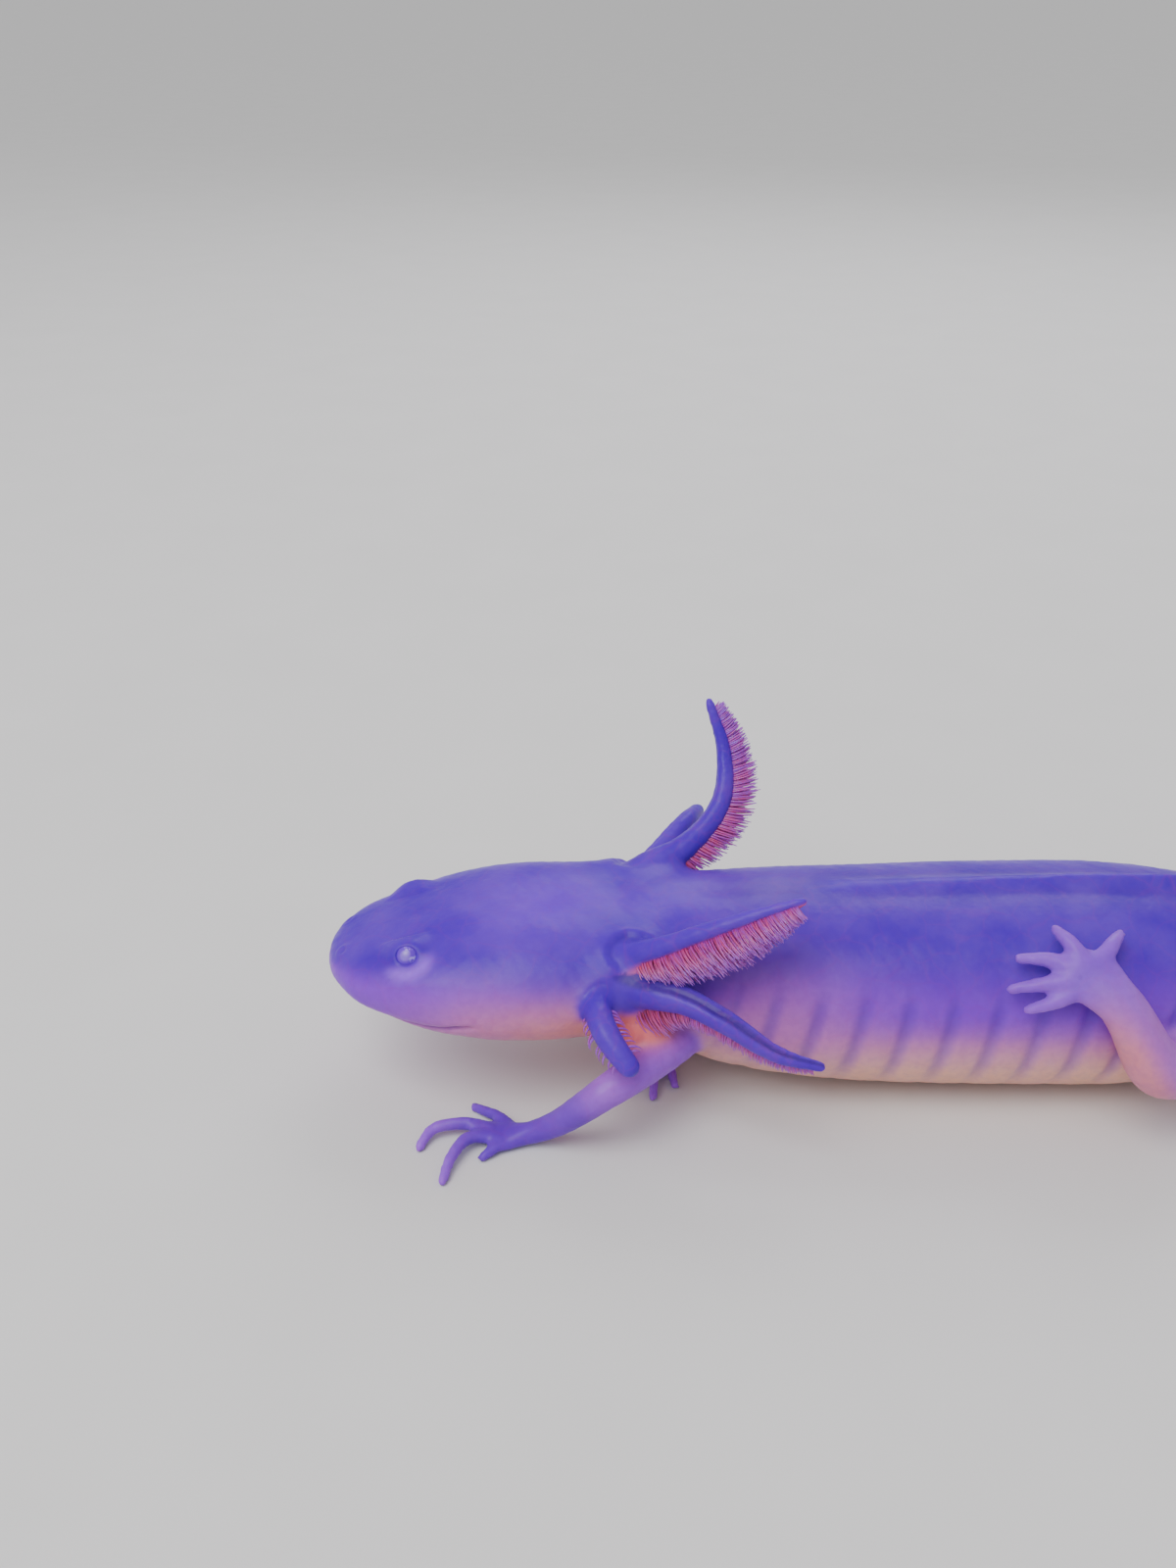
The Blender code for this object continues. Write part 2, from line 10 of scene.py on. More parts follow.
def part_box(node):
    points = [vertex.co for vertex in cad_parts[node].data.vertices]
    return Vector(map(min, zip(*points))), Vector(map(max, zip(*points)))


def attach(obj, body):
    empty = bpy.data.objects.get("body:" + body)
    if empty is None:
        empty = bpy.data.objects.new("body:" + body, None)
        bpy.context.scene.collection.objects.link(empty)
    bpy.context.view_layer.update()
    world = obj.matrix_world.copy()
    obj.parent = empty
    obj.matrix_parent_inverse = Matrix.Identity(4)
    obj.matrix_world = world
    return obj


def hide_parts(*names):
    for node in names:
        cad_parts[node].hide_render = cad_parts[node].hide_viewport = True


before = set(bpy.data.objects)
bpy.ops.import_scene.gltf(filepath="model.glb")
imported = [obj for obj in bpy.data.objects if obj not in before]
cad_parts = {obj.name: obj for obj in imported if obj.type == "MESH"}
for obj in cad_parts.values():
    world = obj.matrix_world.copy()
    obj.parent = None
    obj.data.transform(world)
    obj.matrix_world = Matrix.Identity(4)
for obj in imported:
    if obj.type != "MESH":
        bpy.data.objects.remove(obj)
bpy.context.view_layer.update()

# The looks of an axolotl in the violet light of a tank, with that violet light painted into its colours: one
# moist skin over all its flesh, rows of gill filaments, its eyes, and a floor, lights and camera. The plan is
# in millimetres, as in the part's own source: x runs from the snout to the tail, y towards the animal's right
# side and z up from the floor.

MM = 0.001
UP = np.array((0.0, 0.0, 1.0))

# The cuts between the solids.
GAP = 0.3

# A line's direction is taken over a short stretch on either side.
BACKBONE_WINDOW = 0.5
TUBE_WINDOW = 0.6

# The backbone line: distance from the snout, then x, y, z.
SPINE = (
    (0, 0.1, 1.9, 19.5),
    (8, 8.1, 2.1, 19.2),
    (20, 20.1, 2.5, 19.1),
    (32, 32.1, 2.8, 19.3),
    (39, 39.1, 3.0, 19.4),
    (48, 48.0, 3.2, 18.3),
    (58, 57.9, 3.4, 16.3),
    (72, 71.9, 3.5, 15.2),
    (95, 94.9, 3.6, 15.0),
    (110, 109.9, 3.6, 15.0),
    (125, 124.9, 3.7, 14.5),
    (145, 144.8, 5.4, 12.9),
    (170, 169.0, 10.6, 12.2),
    (195, 192.8, 18.2, 11.2),
    (220, 216.6, 25.6, 9.2),
    (245, 240.9, 30.0, 6.4),
)

# Sections across the backbone: distance from the snout, half width, height above, depth below.
BODY = (
    (0.0, 0.0, 0.0, 0.0),
    (0.7, 4.4, 1.8, 1.8),
    (2.2, 7.2, 3.0, 2.9),
    (5.0, 10.4, 4.5, 4.5),
    (10.0, 13.2, 6.2, 6.1),
    (15.0, 15.3, 7.6, 7.5),
    (20.0, 16.6, 8.7, 8.5),
    (26.0, 17.4, 9.2, 9.1),
    (32.0, 17.6, 9.3, 9.1),
    (37.0, 17.1, 9.3, 9.0),
    (41.0, 16.0, 9.6, 9.3),
    (45.0, 14.4, 10.3, 10.0),
    (50.0, 13.7, 11.5, 11.0),
    (56.0, 14.8, 12.9, 12.6),
    (64.0, 15.9, 13.9, 13.8),
    (75.0, 16.7, 14.6, 14.7),
    (95.0, 17.5, 15.1, 15.2),
    (110.0, 17.6, 15.2, 15.3),
    (118.0, 16.8, 15.1, 15.1),
    (126.0, 14.9, 14.6, 14.4),
    (134.0, 12.5, 13.5, 13.2),
    (142.0, 10.5, 12.2, 11.8),
    (152.0, 8.8, 10.7, 10.2),
    (170.0, 6.8, 8.5, 7.9),
    (190.0, 5.2, 6.7, 6.2),
    (210.0, 3.7, 5.0, 4.7),
    (230.0, 2.2, 3.1, 2.9),
    (245.0, 0.7, 1.0, 1.0),
)
SECTION_POWER = 2.2

# How far the fins stand beyond the flesh: distance from the snout, fin height.
TOP_FIN = (
    (74, 0.7), (100, 1.5), (125, 3.0), (145, 5.4), (165, 7.6), (190, 8.8), (210, 8.4), (230, 6.0), (243, 2.6),
)
BOTTOM_FIN = ((140, 0.7), (155, 2.6), (175, 4.4), (200, 5.6), (220, 5.0), (236, 3.4), (243, 1.6))

# A limb: points from inside the body to the middle of the palm, then half widths, half thicknesses
# and the direction of the palm's width. The elbow and wrist are its third and fourth points.
# Each digit: points from inside the palm to the tip. Then their half thickness, and how much of it
# they have at the base.
LIMBS = {
    "arm_left": {
        "path": (
            (54.0, -4.5, 12.4), (48.6, -12.2, 12.2), (41.0, -19.0, 10.8),
            (29.9, -17.6, 2.0), (26.2, -17.4, 1.1),
        ),
        "width": (3.6, 3.0, 2.4, 1.6, 2.9),
        "thick": (3.8, 3.0, 2.4, 1.6, 1.2),
        "across": (0.2, 0.97, 0.1),
        "digits": (
            ((28.0, -16.6, 1.2), (25.0, -13.4, 1.3), (21.5, -10.5, 0.65)),
            ((26.4, -16.8, 1.2), (19.2, -15.7, 2.0), (15.8, -16.6, 1.6), (14.2, -19.1, 0.6)),
            ((26.2, -17.8, 1.2), (21.0, -18.8, 1.9), (18.9, -22.4, 1.5), (18.0, -26.0, 0.6)),
            ((26.6, -18.4, 1.2), (25.0, -19.8, 1.2), (23.2, -21.2, 0.65)),
        ),
        "digit_radius": 1.05, "digit_base": 1.0,
    },
    "arm_right": {
        "path": (
            (54.0, 9.5, 12.0), (56.0, 16.8, 10.8), (54.2, 17.4, 4.8),
            (49.6, 6.4, 2.1), (48.2, 0.8, 1.1),
        ),
        "width": (3.7, 3.1, 2.6, 1.7, 2.9),
        "thick": (3.8, 3.1, 2.5, 1.7, 1.2),
        "across": (0.94, -0.3, 0.1),
        "digits": (
            ((48.2, 1.2, 1.2), (45.2, -0.4, 1.2), (42.6, -1.6, 0.65)),
            ((47.8, 0.6, 1.2), (45.8, -3.2, 1.5), (44.6, -6.6, 0.6)),
            ((48.2, 0.6, 1.2), (47.8, -4.0, 1.6), (47.4, -8.2, 0.6)),
            ((49.0, 0.8, 1.2), (50.2, -2.6, 1.2), (50.8, -5.6, 0.65)),
        ),
        "digit_radius": 0.95, "digit_base": 1.0,
    },
    "leg_left": {
        "path": (
            (129.0, -2.4, 11.4), (124.6, -11.2, 11.6), (116.4, -17.8, 13.6),
            (109.8, -16.2, 23.2), (106.0, -13.9, 26.4),
        ),
        "width": (5.4, 4.8, 4.1, 3.2, 4.3),
        "thick": (5.4, 4.7, 3.9, 2.6, 1.4),
        "across": (0.75, 0.43, 0.49),
        "digits": (
            ((107.0, -13.4, 27.0), (109.6, -10.6, 29.0), (111.2, -8.6, 29.4)),
            ((105.6, -13.2, 27.0), (103.6, -10.6, 29.4), (102.0, -8.8, 30.3)),
            ((104.8, -13.6, 26.6), (100.8, -12.0, 27.4), (96.8, -11.6, 27.4)),
            ((104.8, -14.2, 25.8), (100.2, -14.2, 25.0), (95.6, -14.0, 24.0)),
            ((105.4, -14.6, 25.2), (101.6, -15.6, 23.2), (98.0, -15.2, 21.4)),
        ),
        "digit_radius": 1.05, "digit_base": 1.45,
    },
    "leg_right": {
        "path": (
            (129.0, 8.8, 10.5), (125.4, 17.4, 9.8), (117.4, 25.4, 6.8),
            (122.4, 32.2, 2.6), (122.0, 37.0, 1.2),
        ),
        "width": (5.4, 4.8, 3.8, 2.9, 4.2),
        "thick": (5.4, 4.5, 3.6, 2.4, 1.3),
        "across": (1.0, 0.1, 0.0),
        "digits": (
            ((120.8, 36.0, 1.3), (117.2, 37.6, 1.3), (114.0, 38.8, 0.7)),
            ((121.2, 37.2, 1.3), (118.2, 41.2, 1.7), (115.4, 44.8, 0.65)),
            ((122.0, 37.6, 1.3), (121.2, 42.4, 1.7), (120.2, 46.8, 0.65)),
            ((122.8, 37.4, 1.3), (124.4, 41.8, 1.7), (125.8, 45.8, 0.65)),
            ((123.2, 36.4, 1.3), (126.4, 39.2, 1.3), (129.0, 41.6, 0.7)),
        ),
        "digit_radius": 1.05, "digit_base": 1.3,
    },
}

# A gill: points along its stalk from inside the neck to the tip, the way its filaments hang, the half
# thickness of the stalk, how much of that its tip keeps, the longest filament, how far (in degrees) its
# two rows spread and where they begin, how much paler they turn towards the gill's tip and how violet
# they are, how far apart they stand, how many deep, their half thickness, how much of the root's flare and
# of the outer groove the stalk has, and the filaments' lengths along it as shares of the longest.
GILLS = {
    "gill_left_upper": {
        "path": (
            (39.0, -4.5, 21.6), (43.6, -8.6, 25.6), (47.5, -10.1, 27.8),
            (53.8, -11.5, 31.4), (63.4, -12.5, 36.0), (66.6, -12.6, 37.2),
        ),
        "hang": (0.25, -0.60, -0.76),
        "radius": 1.75, "blunt": 0.0, "length": 4.3, "spread": 28.0, "first": 0.26,
        "paler": 0.5, "violet": 0.0,
        "spacing": 0.19, "rows": 3, "thickness": 0.15, "flare": 0.9, "groove": 0.25,
        "lengths": ((0.0, 0.6), (0.2, 1.05), (0.5, 1.2), (0.8, 0.85), (1.0, 0.45)),
    },
    "gill_left_middle": {
        "path": (
            (40.0, -7.0, 20.6), (44.7, -11.7, 22.1), (51.2, -15.2, 22.8),
            (55.7, -18.0, 21.9), (64.2, -21.0, 17.8), (69.2, -21.6, 16.7),
        ),
        "hang": (0.0, 0.45, -0.88),
        "radius": 1.9, "blunt": 0.0, "length": 3.2, "spread": 42.0, "first": 0.08,
        "paler": 0.7, "violet": 0.0,
        "spacing": 0.24, "rows": 2, "thickness": 0.17, "flare": 1.0, "groove": 1.0,
        "lengths": ((0.0, 1.9), (0.2, 1.6), (0.4, 0.65), (0.75, 0.5), (1.0, 0.3)),
    },
    "gill_left_lower": {
        "path": (
            (37.8, -6.5, 20.2), (39.2, -11.2, 21.4), (39.3, -15.2, 21.0),
            (40.4, -18.6, 19.8), (42.0, -20.6, 18.2), (43.4, -21.8, 16.9),
        ),
        "hang": (0.1, 0.78, -0.62),
        "radius": 2.1, "blunt": 0.55, "length": 2.6, "spread": 112.0, "first": 0.5,
        "paler": 0.5, "violet": 0.9,
        "spacing": 0.78, "rows": 1, "thickness": 0.2, "flare": 0.5, "groove": 0.0,
        "lengths": ((0.0, 0.7), (0.5, 1.0), (1.0, 0.8)),
    },
    "gill_right_upper": {
        "path": (
            (40.5, 10.5, 22.0), (45.5, 12.6, 26.4), (52.0, 15.0, 29.0),
            (58.2, 20.0, 34.8), (58.7, 24.4, 40.6), (56.4, 27.6, 47.8),
        ),
        "hang": (0.86, 0.10, -0.30),
        "radius": 1.85, "blunt": 0.0, "length": 3.8, "spread": 30.0, "first": 0.24,
        "paler": 1.0, "violet": 0.0,
        "spacing": 0.25, "rows": 2, "thickness": 0.19, "flare": 1.0, "groove": 0.3,
        "lengths": ((0.0, 0.5), (0.3, 0.95), (0.55, 1.05), (0.8, 0.75), (1.0, 0.4)),
    },
    "gill_right_middle": {
        "path": (
            (40.0, 11.5, 19.6), (45.4, 16.6, 23.2), (49.8, 20.6, 26.4),
            (53.4, 25.4, 28.2), (55.4, 30.4, 27.2),
        ),
        "hang": (0.50, -0.1, -0.86),
        "radius": 1.9, "blunt": 0.4, "length": 3.4, "spread": 36.0, "first": 0.26,
        "paler": 0.3, "violet": 0.0,
        "spacing": 0.28, "rows": 2, "thickness": 0.19, "flare": 1.0, "groove": 0.3,
        "lengths": ((0.0, 0.7), (0.3, 1.0), (0.7, 0.8), (1.0, 0.4)),
    },
    "gill_right_lower": {
        "path": (
            (37.4, 11.0, 18.0), (39.4, 17.0, 18.8), (42.2, 21.8, 18.4),
            (45.6, 26.4, 17.2), (48.6, 30.4, 15.4),
        ),
        "hang": (0.15, -0.1, -0.98),
        "radius": 1.85, "blunt": 0.2, "length": 3.0, "spread": 42.0, "first": 0.3,
        "paler": 0.3, "violet": 0.0,
        "spacing": 0.34, "rows": 2, "thickness": 0.2, "flare": 1.0, "groove": 0.3,
        "lengths": ((0.0, 0.7), (0.4, 1.0), (0.8, 0.8), (1.0, 0.4)),
    },
}

# How a stalk narrows by its share of the length, where its solid fringe ends, how far past that the
# filaments stand, and how much of its thickness a digit keeps at its tip.
STALK_TAPER = ((0.0, 1.15), (0.2, 1.05), (0.6, 0.84), (0.85, 0.56), (1.0, 0.36))
FRINGE_END, FRINGE_OVER = 0.95, 0.02
DIGIT_TIP = 0.66

# The eyes: their radius, middles and the ways they look.
EYE_RADIUS = 1.9
EYE_PLACES = {"left": (12.7, -6.3, 24.2), "right": (12.3, 10.9, 24.0)}
GAZES = {"left": (-0.16, -0.80, 0.58), "right": (-0.16, 0.80, 0.58)}

# The nodes that the one skin replaces.
FLESH = (
    ["head", "lower_jaw", "neck", "trunk_front", "trunk_rear", "hips", "tail_base", "tail_middle", "tail_tip"]
    + ["fin_back", "fin_top_base", "fin_top_middle", "fin_top_tip"]
    + ["fin_bottom_base", "fin_bottom_middle", "fin_bottom_tip"]
    + [f"{limb}_{part}" for limb in LIMBS for part in ("upper", "lower", "palm")]
    + list(GILLS)
)

# Half a fin's section: shares of its half thickness, how deep the root goes and shares of its height.
# Then the half thickness and the least of it, and how far and how slowly the edge waves.
FIN_SECTION = (
    (1.0, -2.2, 0.0), (1.0, 0.0, 0.0), (0.75, 0.0, 0.2),
    (0.55, 0.0, 0.42), (0.42, 0.0, 0.7), (0.34, 0.0, 0.92),
)
FIN_HALF, FIN_LEAST_HALF = 1.3, 0.45
FIN_WAVE, FIN_WAVE_STEP = 0.55, 7.3

# How much broader than the solid a gill's stalk is near its root, by its share of the stalk's length.
STALK_FLARE = ((0.0, 1.2), (0.12, 1.36), (0.28, 1.2), (0.45, 1.0), (1.0, 1.0))

# The webs between digits: how far along these they reach, half their thickness and the share of the
# reach that their edge keeps halfway between two digits.
WEB_REACH = {"leg": 0.5, "arm": 0.4}
WEB_HALF, WEB_BACK = 0.45, 0.85

# The web between the roots of the upper two gills on each side: how far it reaches and half its thickness.
GILL_WEB_REACH, GILL_WEB_HALF = 0.27, 1.2

# Where a gill's stalk is softened inside the head and at its root: shares of its path's first two points,
# the reach and the rounds of smoothing. Then hollows round the root are filled, from this height up.
CAP_AND_ROOT = (((0.6, 0.4), 4.4, 140), ((0.2, 0.8), 5.6, 16))
FILL_ROUNDS, FILL_LOW, FILL_HIGH = 450, 17.0, 20.0

# Rounds of smoothing where limbs and gills, palms, and fins and digits leave what carries them.
ROOT_ROUNDS, PALM_ROUNDS, EDGE_ROUNDS = 34, 14, 8
PALM_REACH = 2.6

# Before this place the fin over the back is only a soft ridge, smoothed by so many rounds.
LOW_FIN_END, LOW_FIN_ROUNDS = 128.0, 60

# The skin is first drawn over everything as a mesh of cells of this size.
CELL = 0.48

# Where the mesh is made finer: round the eyes once and then again, and along the stalks of the gills from
# a share of their length on. It is evened out a little further, and smoothed last round the eyes.
EYE_FINE, EYE_FINER, EYE_SMOOTHED = 5.2, 4.2, 5.0
GILL_FINE, GILL_FINE_FROM = 2.7, 0.2
GILL_EVEN, GILL_EVEN_FROM = 3.2, 0.15

# The eye's opening: half its length and height, and how far the lids' edge stands over the eyeball. The
# skin inside the opening lies this far out from the eye's middle. The lids' edge and the mound round them
# are placed by shares of the opening, and the mound falls off this far.
LID_LENGTH, LID_HEIGHT = 1.35, 1.1
LID_RISE, LID_INSIDE = 0.02, 1.2
LID_EDGE, MOUND_EDGE, MOUND_REACH = 1.16, 1.25, 4.3
MOUND_FALL = 1.5

# The grooves between the ribs, from where to where, their distance and slant. Then the lines between the
# tail's muscles, their distance and slant.
COSTAL_START, COSTAL_END, COSTAL_STEP = 57.0, 124.0, 6.2
COSTAL_SLANT = 0.16
MYOMERE_STEP, MYOMERE_SLANT = 4.6, 0.55

# The mouth's corner, the height of its line from the snout on, the nostril's place along, across and
# above the backbone, and where the fold of the throat is.
MOUTH_CORNER = 20.5
MOUTH_LINE = ((0.0, 17.4), (3.0, 16.9), (6.5, 16.2), (12.0, 15.9), (16.0, 16.1), (20.5, 17.2), (24.0, 17.6))
NOSTRIL = (2.9, 3.9, 2.3)
GULAR_FOLD = 42.0

# The middles of the flushed hollows between the roots of the gills on each side, the sizes of the fold
# under them, how far it lies below and the reach of the flush.
CUPS = ((45.5, -11.5, 16.8), (45.5, 17.8, 16.8))
CUP_SIZE, CUP_DROP = (4.2, 3.2, 4.6), -2.6
FLUSH_REACH = (6.2, 5.5, 4.6)

# How warm each limb's lower part is, from its knee or elbow on.
LIMB_WARMTH = {"leg_left": 0.8, "arm_left": 0.15, "leg_right": 0.5, "arm_right": 0.2}

# A filament: its sides and sections, the share of the stalk's thickness where its root is, how it curls
# and narrows, how far its point reaches and the least height of its line over the floor.
STRAND_SIDES, STRAND_STEPS = 5, 8
STRAND_SINK, STRAND_CURL = 0.72, 0.42
STRAND_TAPER, STRAND_POWER = 0.62, 1.6
STRAND_POINT = 0.25
STRAND_FLOOR = 0.3

# Half the width and the length of a filament's patch on the UV map, and where its tip lies.
PATCH_HALF, PATCH_LENGTH, PATCH_TIP = 0.0014, 0.003, 0.0016

# An eyeball's rows and sides, how much its clear front stands out, and how far from the eye's middle the
# pale crescent on the skin below it lies.
EYE_ROWS, EYE_SIDES = 40, 56
CORNEA_RISE = 0.05
CRESCENT_RADIUS = 2.7

# The camera's place on the plan, how many degrees it looks down, and its lens and sensor in millimetres.
CAMERA_PLACE = (37.9, -189.55, 149.0)
CAMERA_DOWN = 28.0
CAMERA_LENS = CAMERA_SENSOR = 36.0

# The studio, in metres: its middle on the plan, then the lights' places from it, their sizes, powers and
# colours, the wide light's power, spread and tilt, and the air's light.
STUDIO_MIDDLE = (75.0, 3.0, 15.0)
LIGHTS = {
    "key": ((-0.35, -0.40), 0.80, 0.55, 5.0, (1.0, 0.98, 0.97)),
    "rim": ((0.15, 0.60), 0.60, 0.5, 2.5, (0.95, 0.94, 1.0)),
}
SUN_POWER, SUN_SPREAD, SUN_TILT = 1.05, 1.0, (30.0, -22.0)
AIR_COLOUR, AIR_POWER = (0.93, 0.93, 0.95, 1.0), 0.62
FLOOR_REACH = 30.0
FLOOR_GREYS = (0.66, 0.655, 0.65, 1.0), (0.70, 0.695, 0.69, 1.0)

# Colours of the skin and gills, as seen on a screen. Their violet is the tank's violet light, painted into
# them, as the lamps here are white.
LILAC = (0.26, 0.0, 0.69)
FLANK = (0.49, 0.18, 0.80)
MAUVE = (0.72, 0.42, 0.70)
CREAM = (0.90, 0.68, 0.58)
# A painted highlight on the top of the head.
CROWN_HIGHLIGHT = (0.44, 0.13, 0.85)
LIP = (0.74, 0.46, 0.70)
PALE = (0.60, 0.34, 0.86)
WARM = (0.88, 0.55, 0.46)
FIN = (0.52, 0.24, 0.78)
STALK = (0.28, 0.01, 0.70)
# Painted shade: the dark line along the back and the dark in the gills' grooves.
PAINTED_SHADE = (0.20, 0.02, 0.52)
BLUSH = (0.85, 0.38, 0.38)
ORANGE = (0.88, 0.42, 0.34)
CORAL_ROOT = (0.72, 0.14, 0.30)
CORAL = (0.80, 0.26, 0.40)
CORAL_PALE = (0.84, 0.38, 0.60)
CORAL_TIP = (0.68, 0.38, 0.84)
FRINGE_VIOLET = (0.56, 0.22, 0.80)
FLECK_RED = (0.62, 0.12, 0.18)
MOUTH_SHADE = (0.44, 0.22, 0.56)
CRESCENT = (0.62, 0.36, 0.94)
MOTTLE = (0.78, 0.56, 0.98)
GRAIN = (0.40, 0.20, 0.62)
VESSEL = (0.70, 0.20, 0.50)
SPECK = (0.26, 0.12, 0.50)
# Silver flecks of the iris, painted as a glint on the eye's upper side.
SILVER = (0.64, 0.54, 0.92)
EYE_TONES = (
    (0.40, (0.52, 0.36, 0.84)), (0.50, (0.48, 0.26, 0.84)), (0.57, (0.40, 0.12, 0.80)),
    (0.85, (0.40, 0.12, 0.80)), (1.0, (0.34, 0.05, 0.74)),
)


# ---------------- curves


def unit(vectors):
    """Vectors of length one."""
    vectors = np.asarray(vectors, float)
    return vectors / np.linalg.norm(vectors, axis=-1, keepdims=True)


def apart(points, place):
    """How far points are from a place."""
    return np.linalg.norm(points - np.asarray(place, float), axis=1)


def ramp(low, high, value):
    """0 below low, 1 above high and a smooth rise between them. It falls where high is the lower."""
    t = np.clip((np.asarray(value, float) - low) / (high - low), 0.0, 1.0)
    return t * t * (3 - 2 * t)


def bell(value, width):
    """1 at nought, falling off smoothly each way over about the width."""
    return np.exp(-((np.asarray(value, float) / width) ** 2))


def slopes(at, values):
    """Slopes at the knots of a smooth curve that doesn't overshoot its values."""
    step = np.diff(at)
    rise = np.diff(values) / step
    found = np.empty(len(values))
    found[0], found[-1] = rise[0], rise[-1]
    for i in range(1, len(values) - 1):
        a, b = rise[i - 1], rise[i]
        found[i] = 0.0 if a * b <= 0 else 3 * (step[i - 1] + step[i]) / (
            (2 * step[i] + step[i - 1]) / a + (step[i] + 2 * step[i - 1]) / b
        )
    return found


def central_slopes(at, values):
    """Slopes at the knots of a smooth curve through points in space."""
    return np.gradient(np.asarray(values, float), np.asarray(at, float))


def eased(at, values, where, slope_rule=slopes):
    """A smooth curve's values, through the given values at the given places."""
    at, values = np.asarray(at, float), np.asarray(values, float)
    slope = slope_rule(at, values)
    i = np.clip(np.searchsorted(at, where, side="right") - 1, 0, len(at) - 2)
    step = at[i + 1] - at[i]
    t = np.clip((where - at[i]) / step, 0.0, 1.0)
    return (
        values[i] * (1 + 2 * t) * (1 - t) ** 2
        + slope[i] * step * t * (1 - t) ** 2
        + values[i + 1] * t * t * (3 - 2 * t)
        + slope[i + 1] * step * t * t * (t - 1)
    )


def table_curve(table, where):
    """A table's smooth curve at some places."""
    return eased([row[0] for row in table], [row[1] for row in table], np.asarray(where, float))


def backbone(s):
    """Points of the backbone and their frames: along, across and up."""
    s = np.asarray(s, float)
    at = [row[0] for row in SPINE]

    def line(where):
        found = [eased(at, [row[k] for row in SPINE], where, central_slopes) for k in (1, 2, 3)]
        return np.stack(found, axis=-1)

    along = unit(line(s + BACKBONE_WINDOW) - line(s - BACKBONE_WINDOW))
    across = unit(np.cross(UP, along))
    return line(s), along, across, np.cross(along, across)


def body_size(s):
    """Half width, height above and depth below the backbone."""
    at = np.sqrt([row[0] for row in BODY])
    where = np.sqrt(np.maximum(np.asarray(s, float), 0.0))
    return [eased(at, [row[k] for row in BODY], where) for k in (1, 2, 3)]


def body_place(points):
    """Each point's distance along the backbone, and how far it lies across and above it."""
    s = points[:, 0].copy()
    for _ in range(8):
        centre, along, across, up = backbone(s)
        s = np.clip(s + np.sum((points - centre) * along, axis=1), 0.05, BODY[-1][0])
    centre, along, across, up = backbone(s)
    return s, np.sum((points - centre) * across, axis=1), np.sum((points - centre) * up, axis=1)


class Tube:
    """A smooth line through points, with an oval section that changes along it."""

    def __init__(self, path, width, thick, across, shares=None):
        self.path = np.asarray(path, float)
        self.at = np.concatenate(([0.0], np.cumsum(np.linalg.norm(np.diff(self.path, axis=0), axis=1))))
        self.size_at = self.at if shares is None else np.asarray(shares) * self.at[-1]
        self.width, self.thick = width, thick
        self.across = np.asarray(across, float)

    def line(self, s):
        """Points of the line."""
        return np.stack([eased(self.at, self.path[:, k], s, central_slopes) for k in range(3)], axis=-1)

    def place(self, s):
        """A point of the line with the directions along it, of its width and of its thickness."""
        along = unit(self.line(s + TUBE_WINDOW) - self.line(s - TUBE_WINDOW))
        side = unit(self.across - along * (self.across @ along))
        return self.line(s), along, side, np.cross(along, side)

    def size(self, s):
        """Half width and half thickness at a distance along the line."""
        return eased(self.size_at, self.width, s), eased(self.size_at, self.thick, s)

    def ring(self, s, sides, shrink=1.0, shift=0.0):
        """One section, which can be smaller and moved along the line's direction."""
        centre, along, side, normal = self.place(s)
        width, thick = self.size(s)
        turns = (2 * math.pi * np.arange(sides) / sides)[:, None]
        oval = (side * width * np.cos(turns) + normal * thick * np.sin(turns)) * shrink
        return centre + along * shift + oval

    def rings(self, count, sides):
        """Sections along the whole line and over a round end, and the end's point."""
        length = self.at[-1]
        found = [self.ring(s, sides) for s in np.linspace(0.0, length, count)]
        centre, along, _, _ = self.place(length)
        dome = float(self.size(length)[1])
        for turn in np.linspace(0, math.pi / 2, 7)[1:-1]:
            found.append(self.ring(length, sides, math.cos(turn), dome * math.sin(turn)))
        return found, centre + along * dome


# ---------------- the shapes under the skin


def bands(first, rings, sides):
    """The faces between rings of points that follow each other."""
    found = []
    for a in range(first, first + (rings - 1) * sides, sides):
        for k in range(sides):
            after = (k + 1) % sides
            found.append((a + k, a + after, a + after + sides, a + k + sides))
    return found


class Shapes:
    """Closed surfaces in millimetres, with the name of the part that each face belongs to."""

    def __init__(self):
        self.points, self.faces, self.parts = [], [], []

    def loft(self, part, rings, first=None, last=None):
        """A closed surface through rings of points, its ends drawn to a point."""
        start, sides = len(self.points), len(rings[0])
        for ring in rings:
            self.points.extend(np.asarray(ring))
        ends = [
            (np.mean(rings[0], axis=0) if first is None else first, start, 1),
            (np.mean(rings[-1], axis=0) if last is None else last, start + (len(rings) - 1) * sides, -1),
        ]
        faces = bands(start, len(rings), sides)
        for pole, ring, turn in ends:
            self.points.append(np.asarray(pole))
            corners = [ring + k for k in range(sides)][::-turn]
            faces += [(corners[k], corners[(k + 1) % sides], len(self.points) - 1) for k in range(sides)]
        self.faces += faces
        self.parts += [part] * len(faces)


def add_body(shapes):
    """The head, trunk and the tail's flesh."""
    stations = np.concatenate((np.linspace(0.12, math.sqrt(44), 90) ** 2, np.linspace(44.6, 245, 300)))
    centre, along, across, up = backbone(stations)
    width, above, below = body_size(stations)
    turns = 2 * math.pi * np.arange(120) / 120
    c, d = np.cos(turns), np.sin(turns)
    y = np.sign(c) * np.abs(c) ** (2 / SECTION_POWER)
    z = np.sign(d) * np.abs(d) ** (2 / SECTION_POWER)
    heights = np.where(d[None, :] > 0, above[:, None], below[:, None]) * z
    widths = width[:, None] * y
    rings = centre[:, None] + across[:, None] * widths[:, :, None] + up[:, None] * heights[:, :, None]
    shapes.loft("body", list(rings), first=backbone(0.0)[0], last=centre[-1] + along[-1])


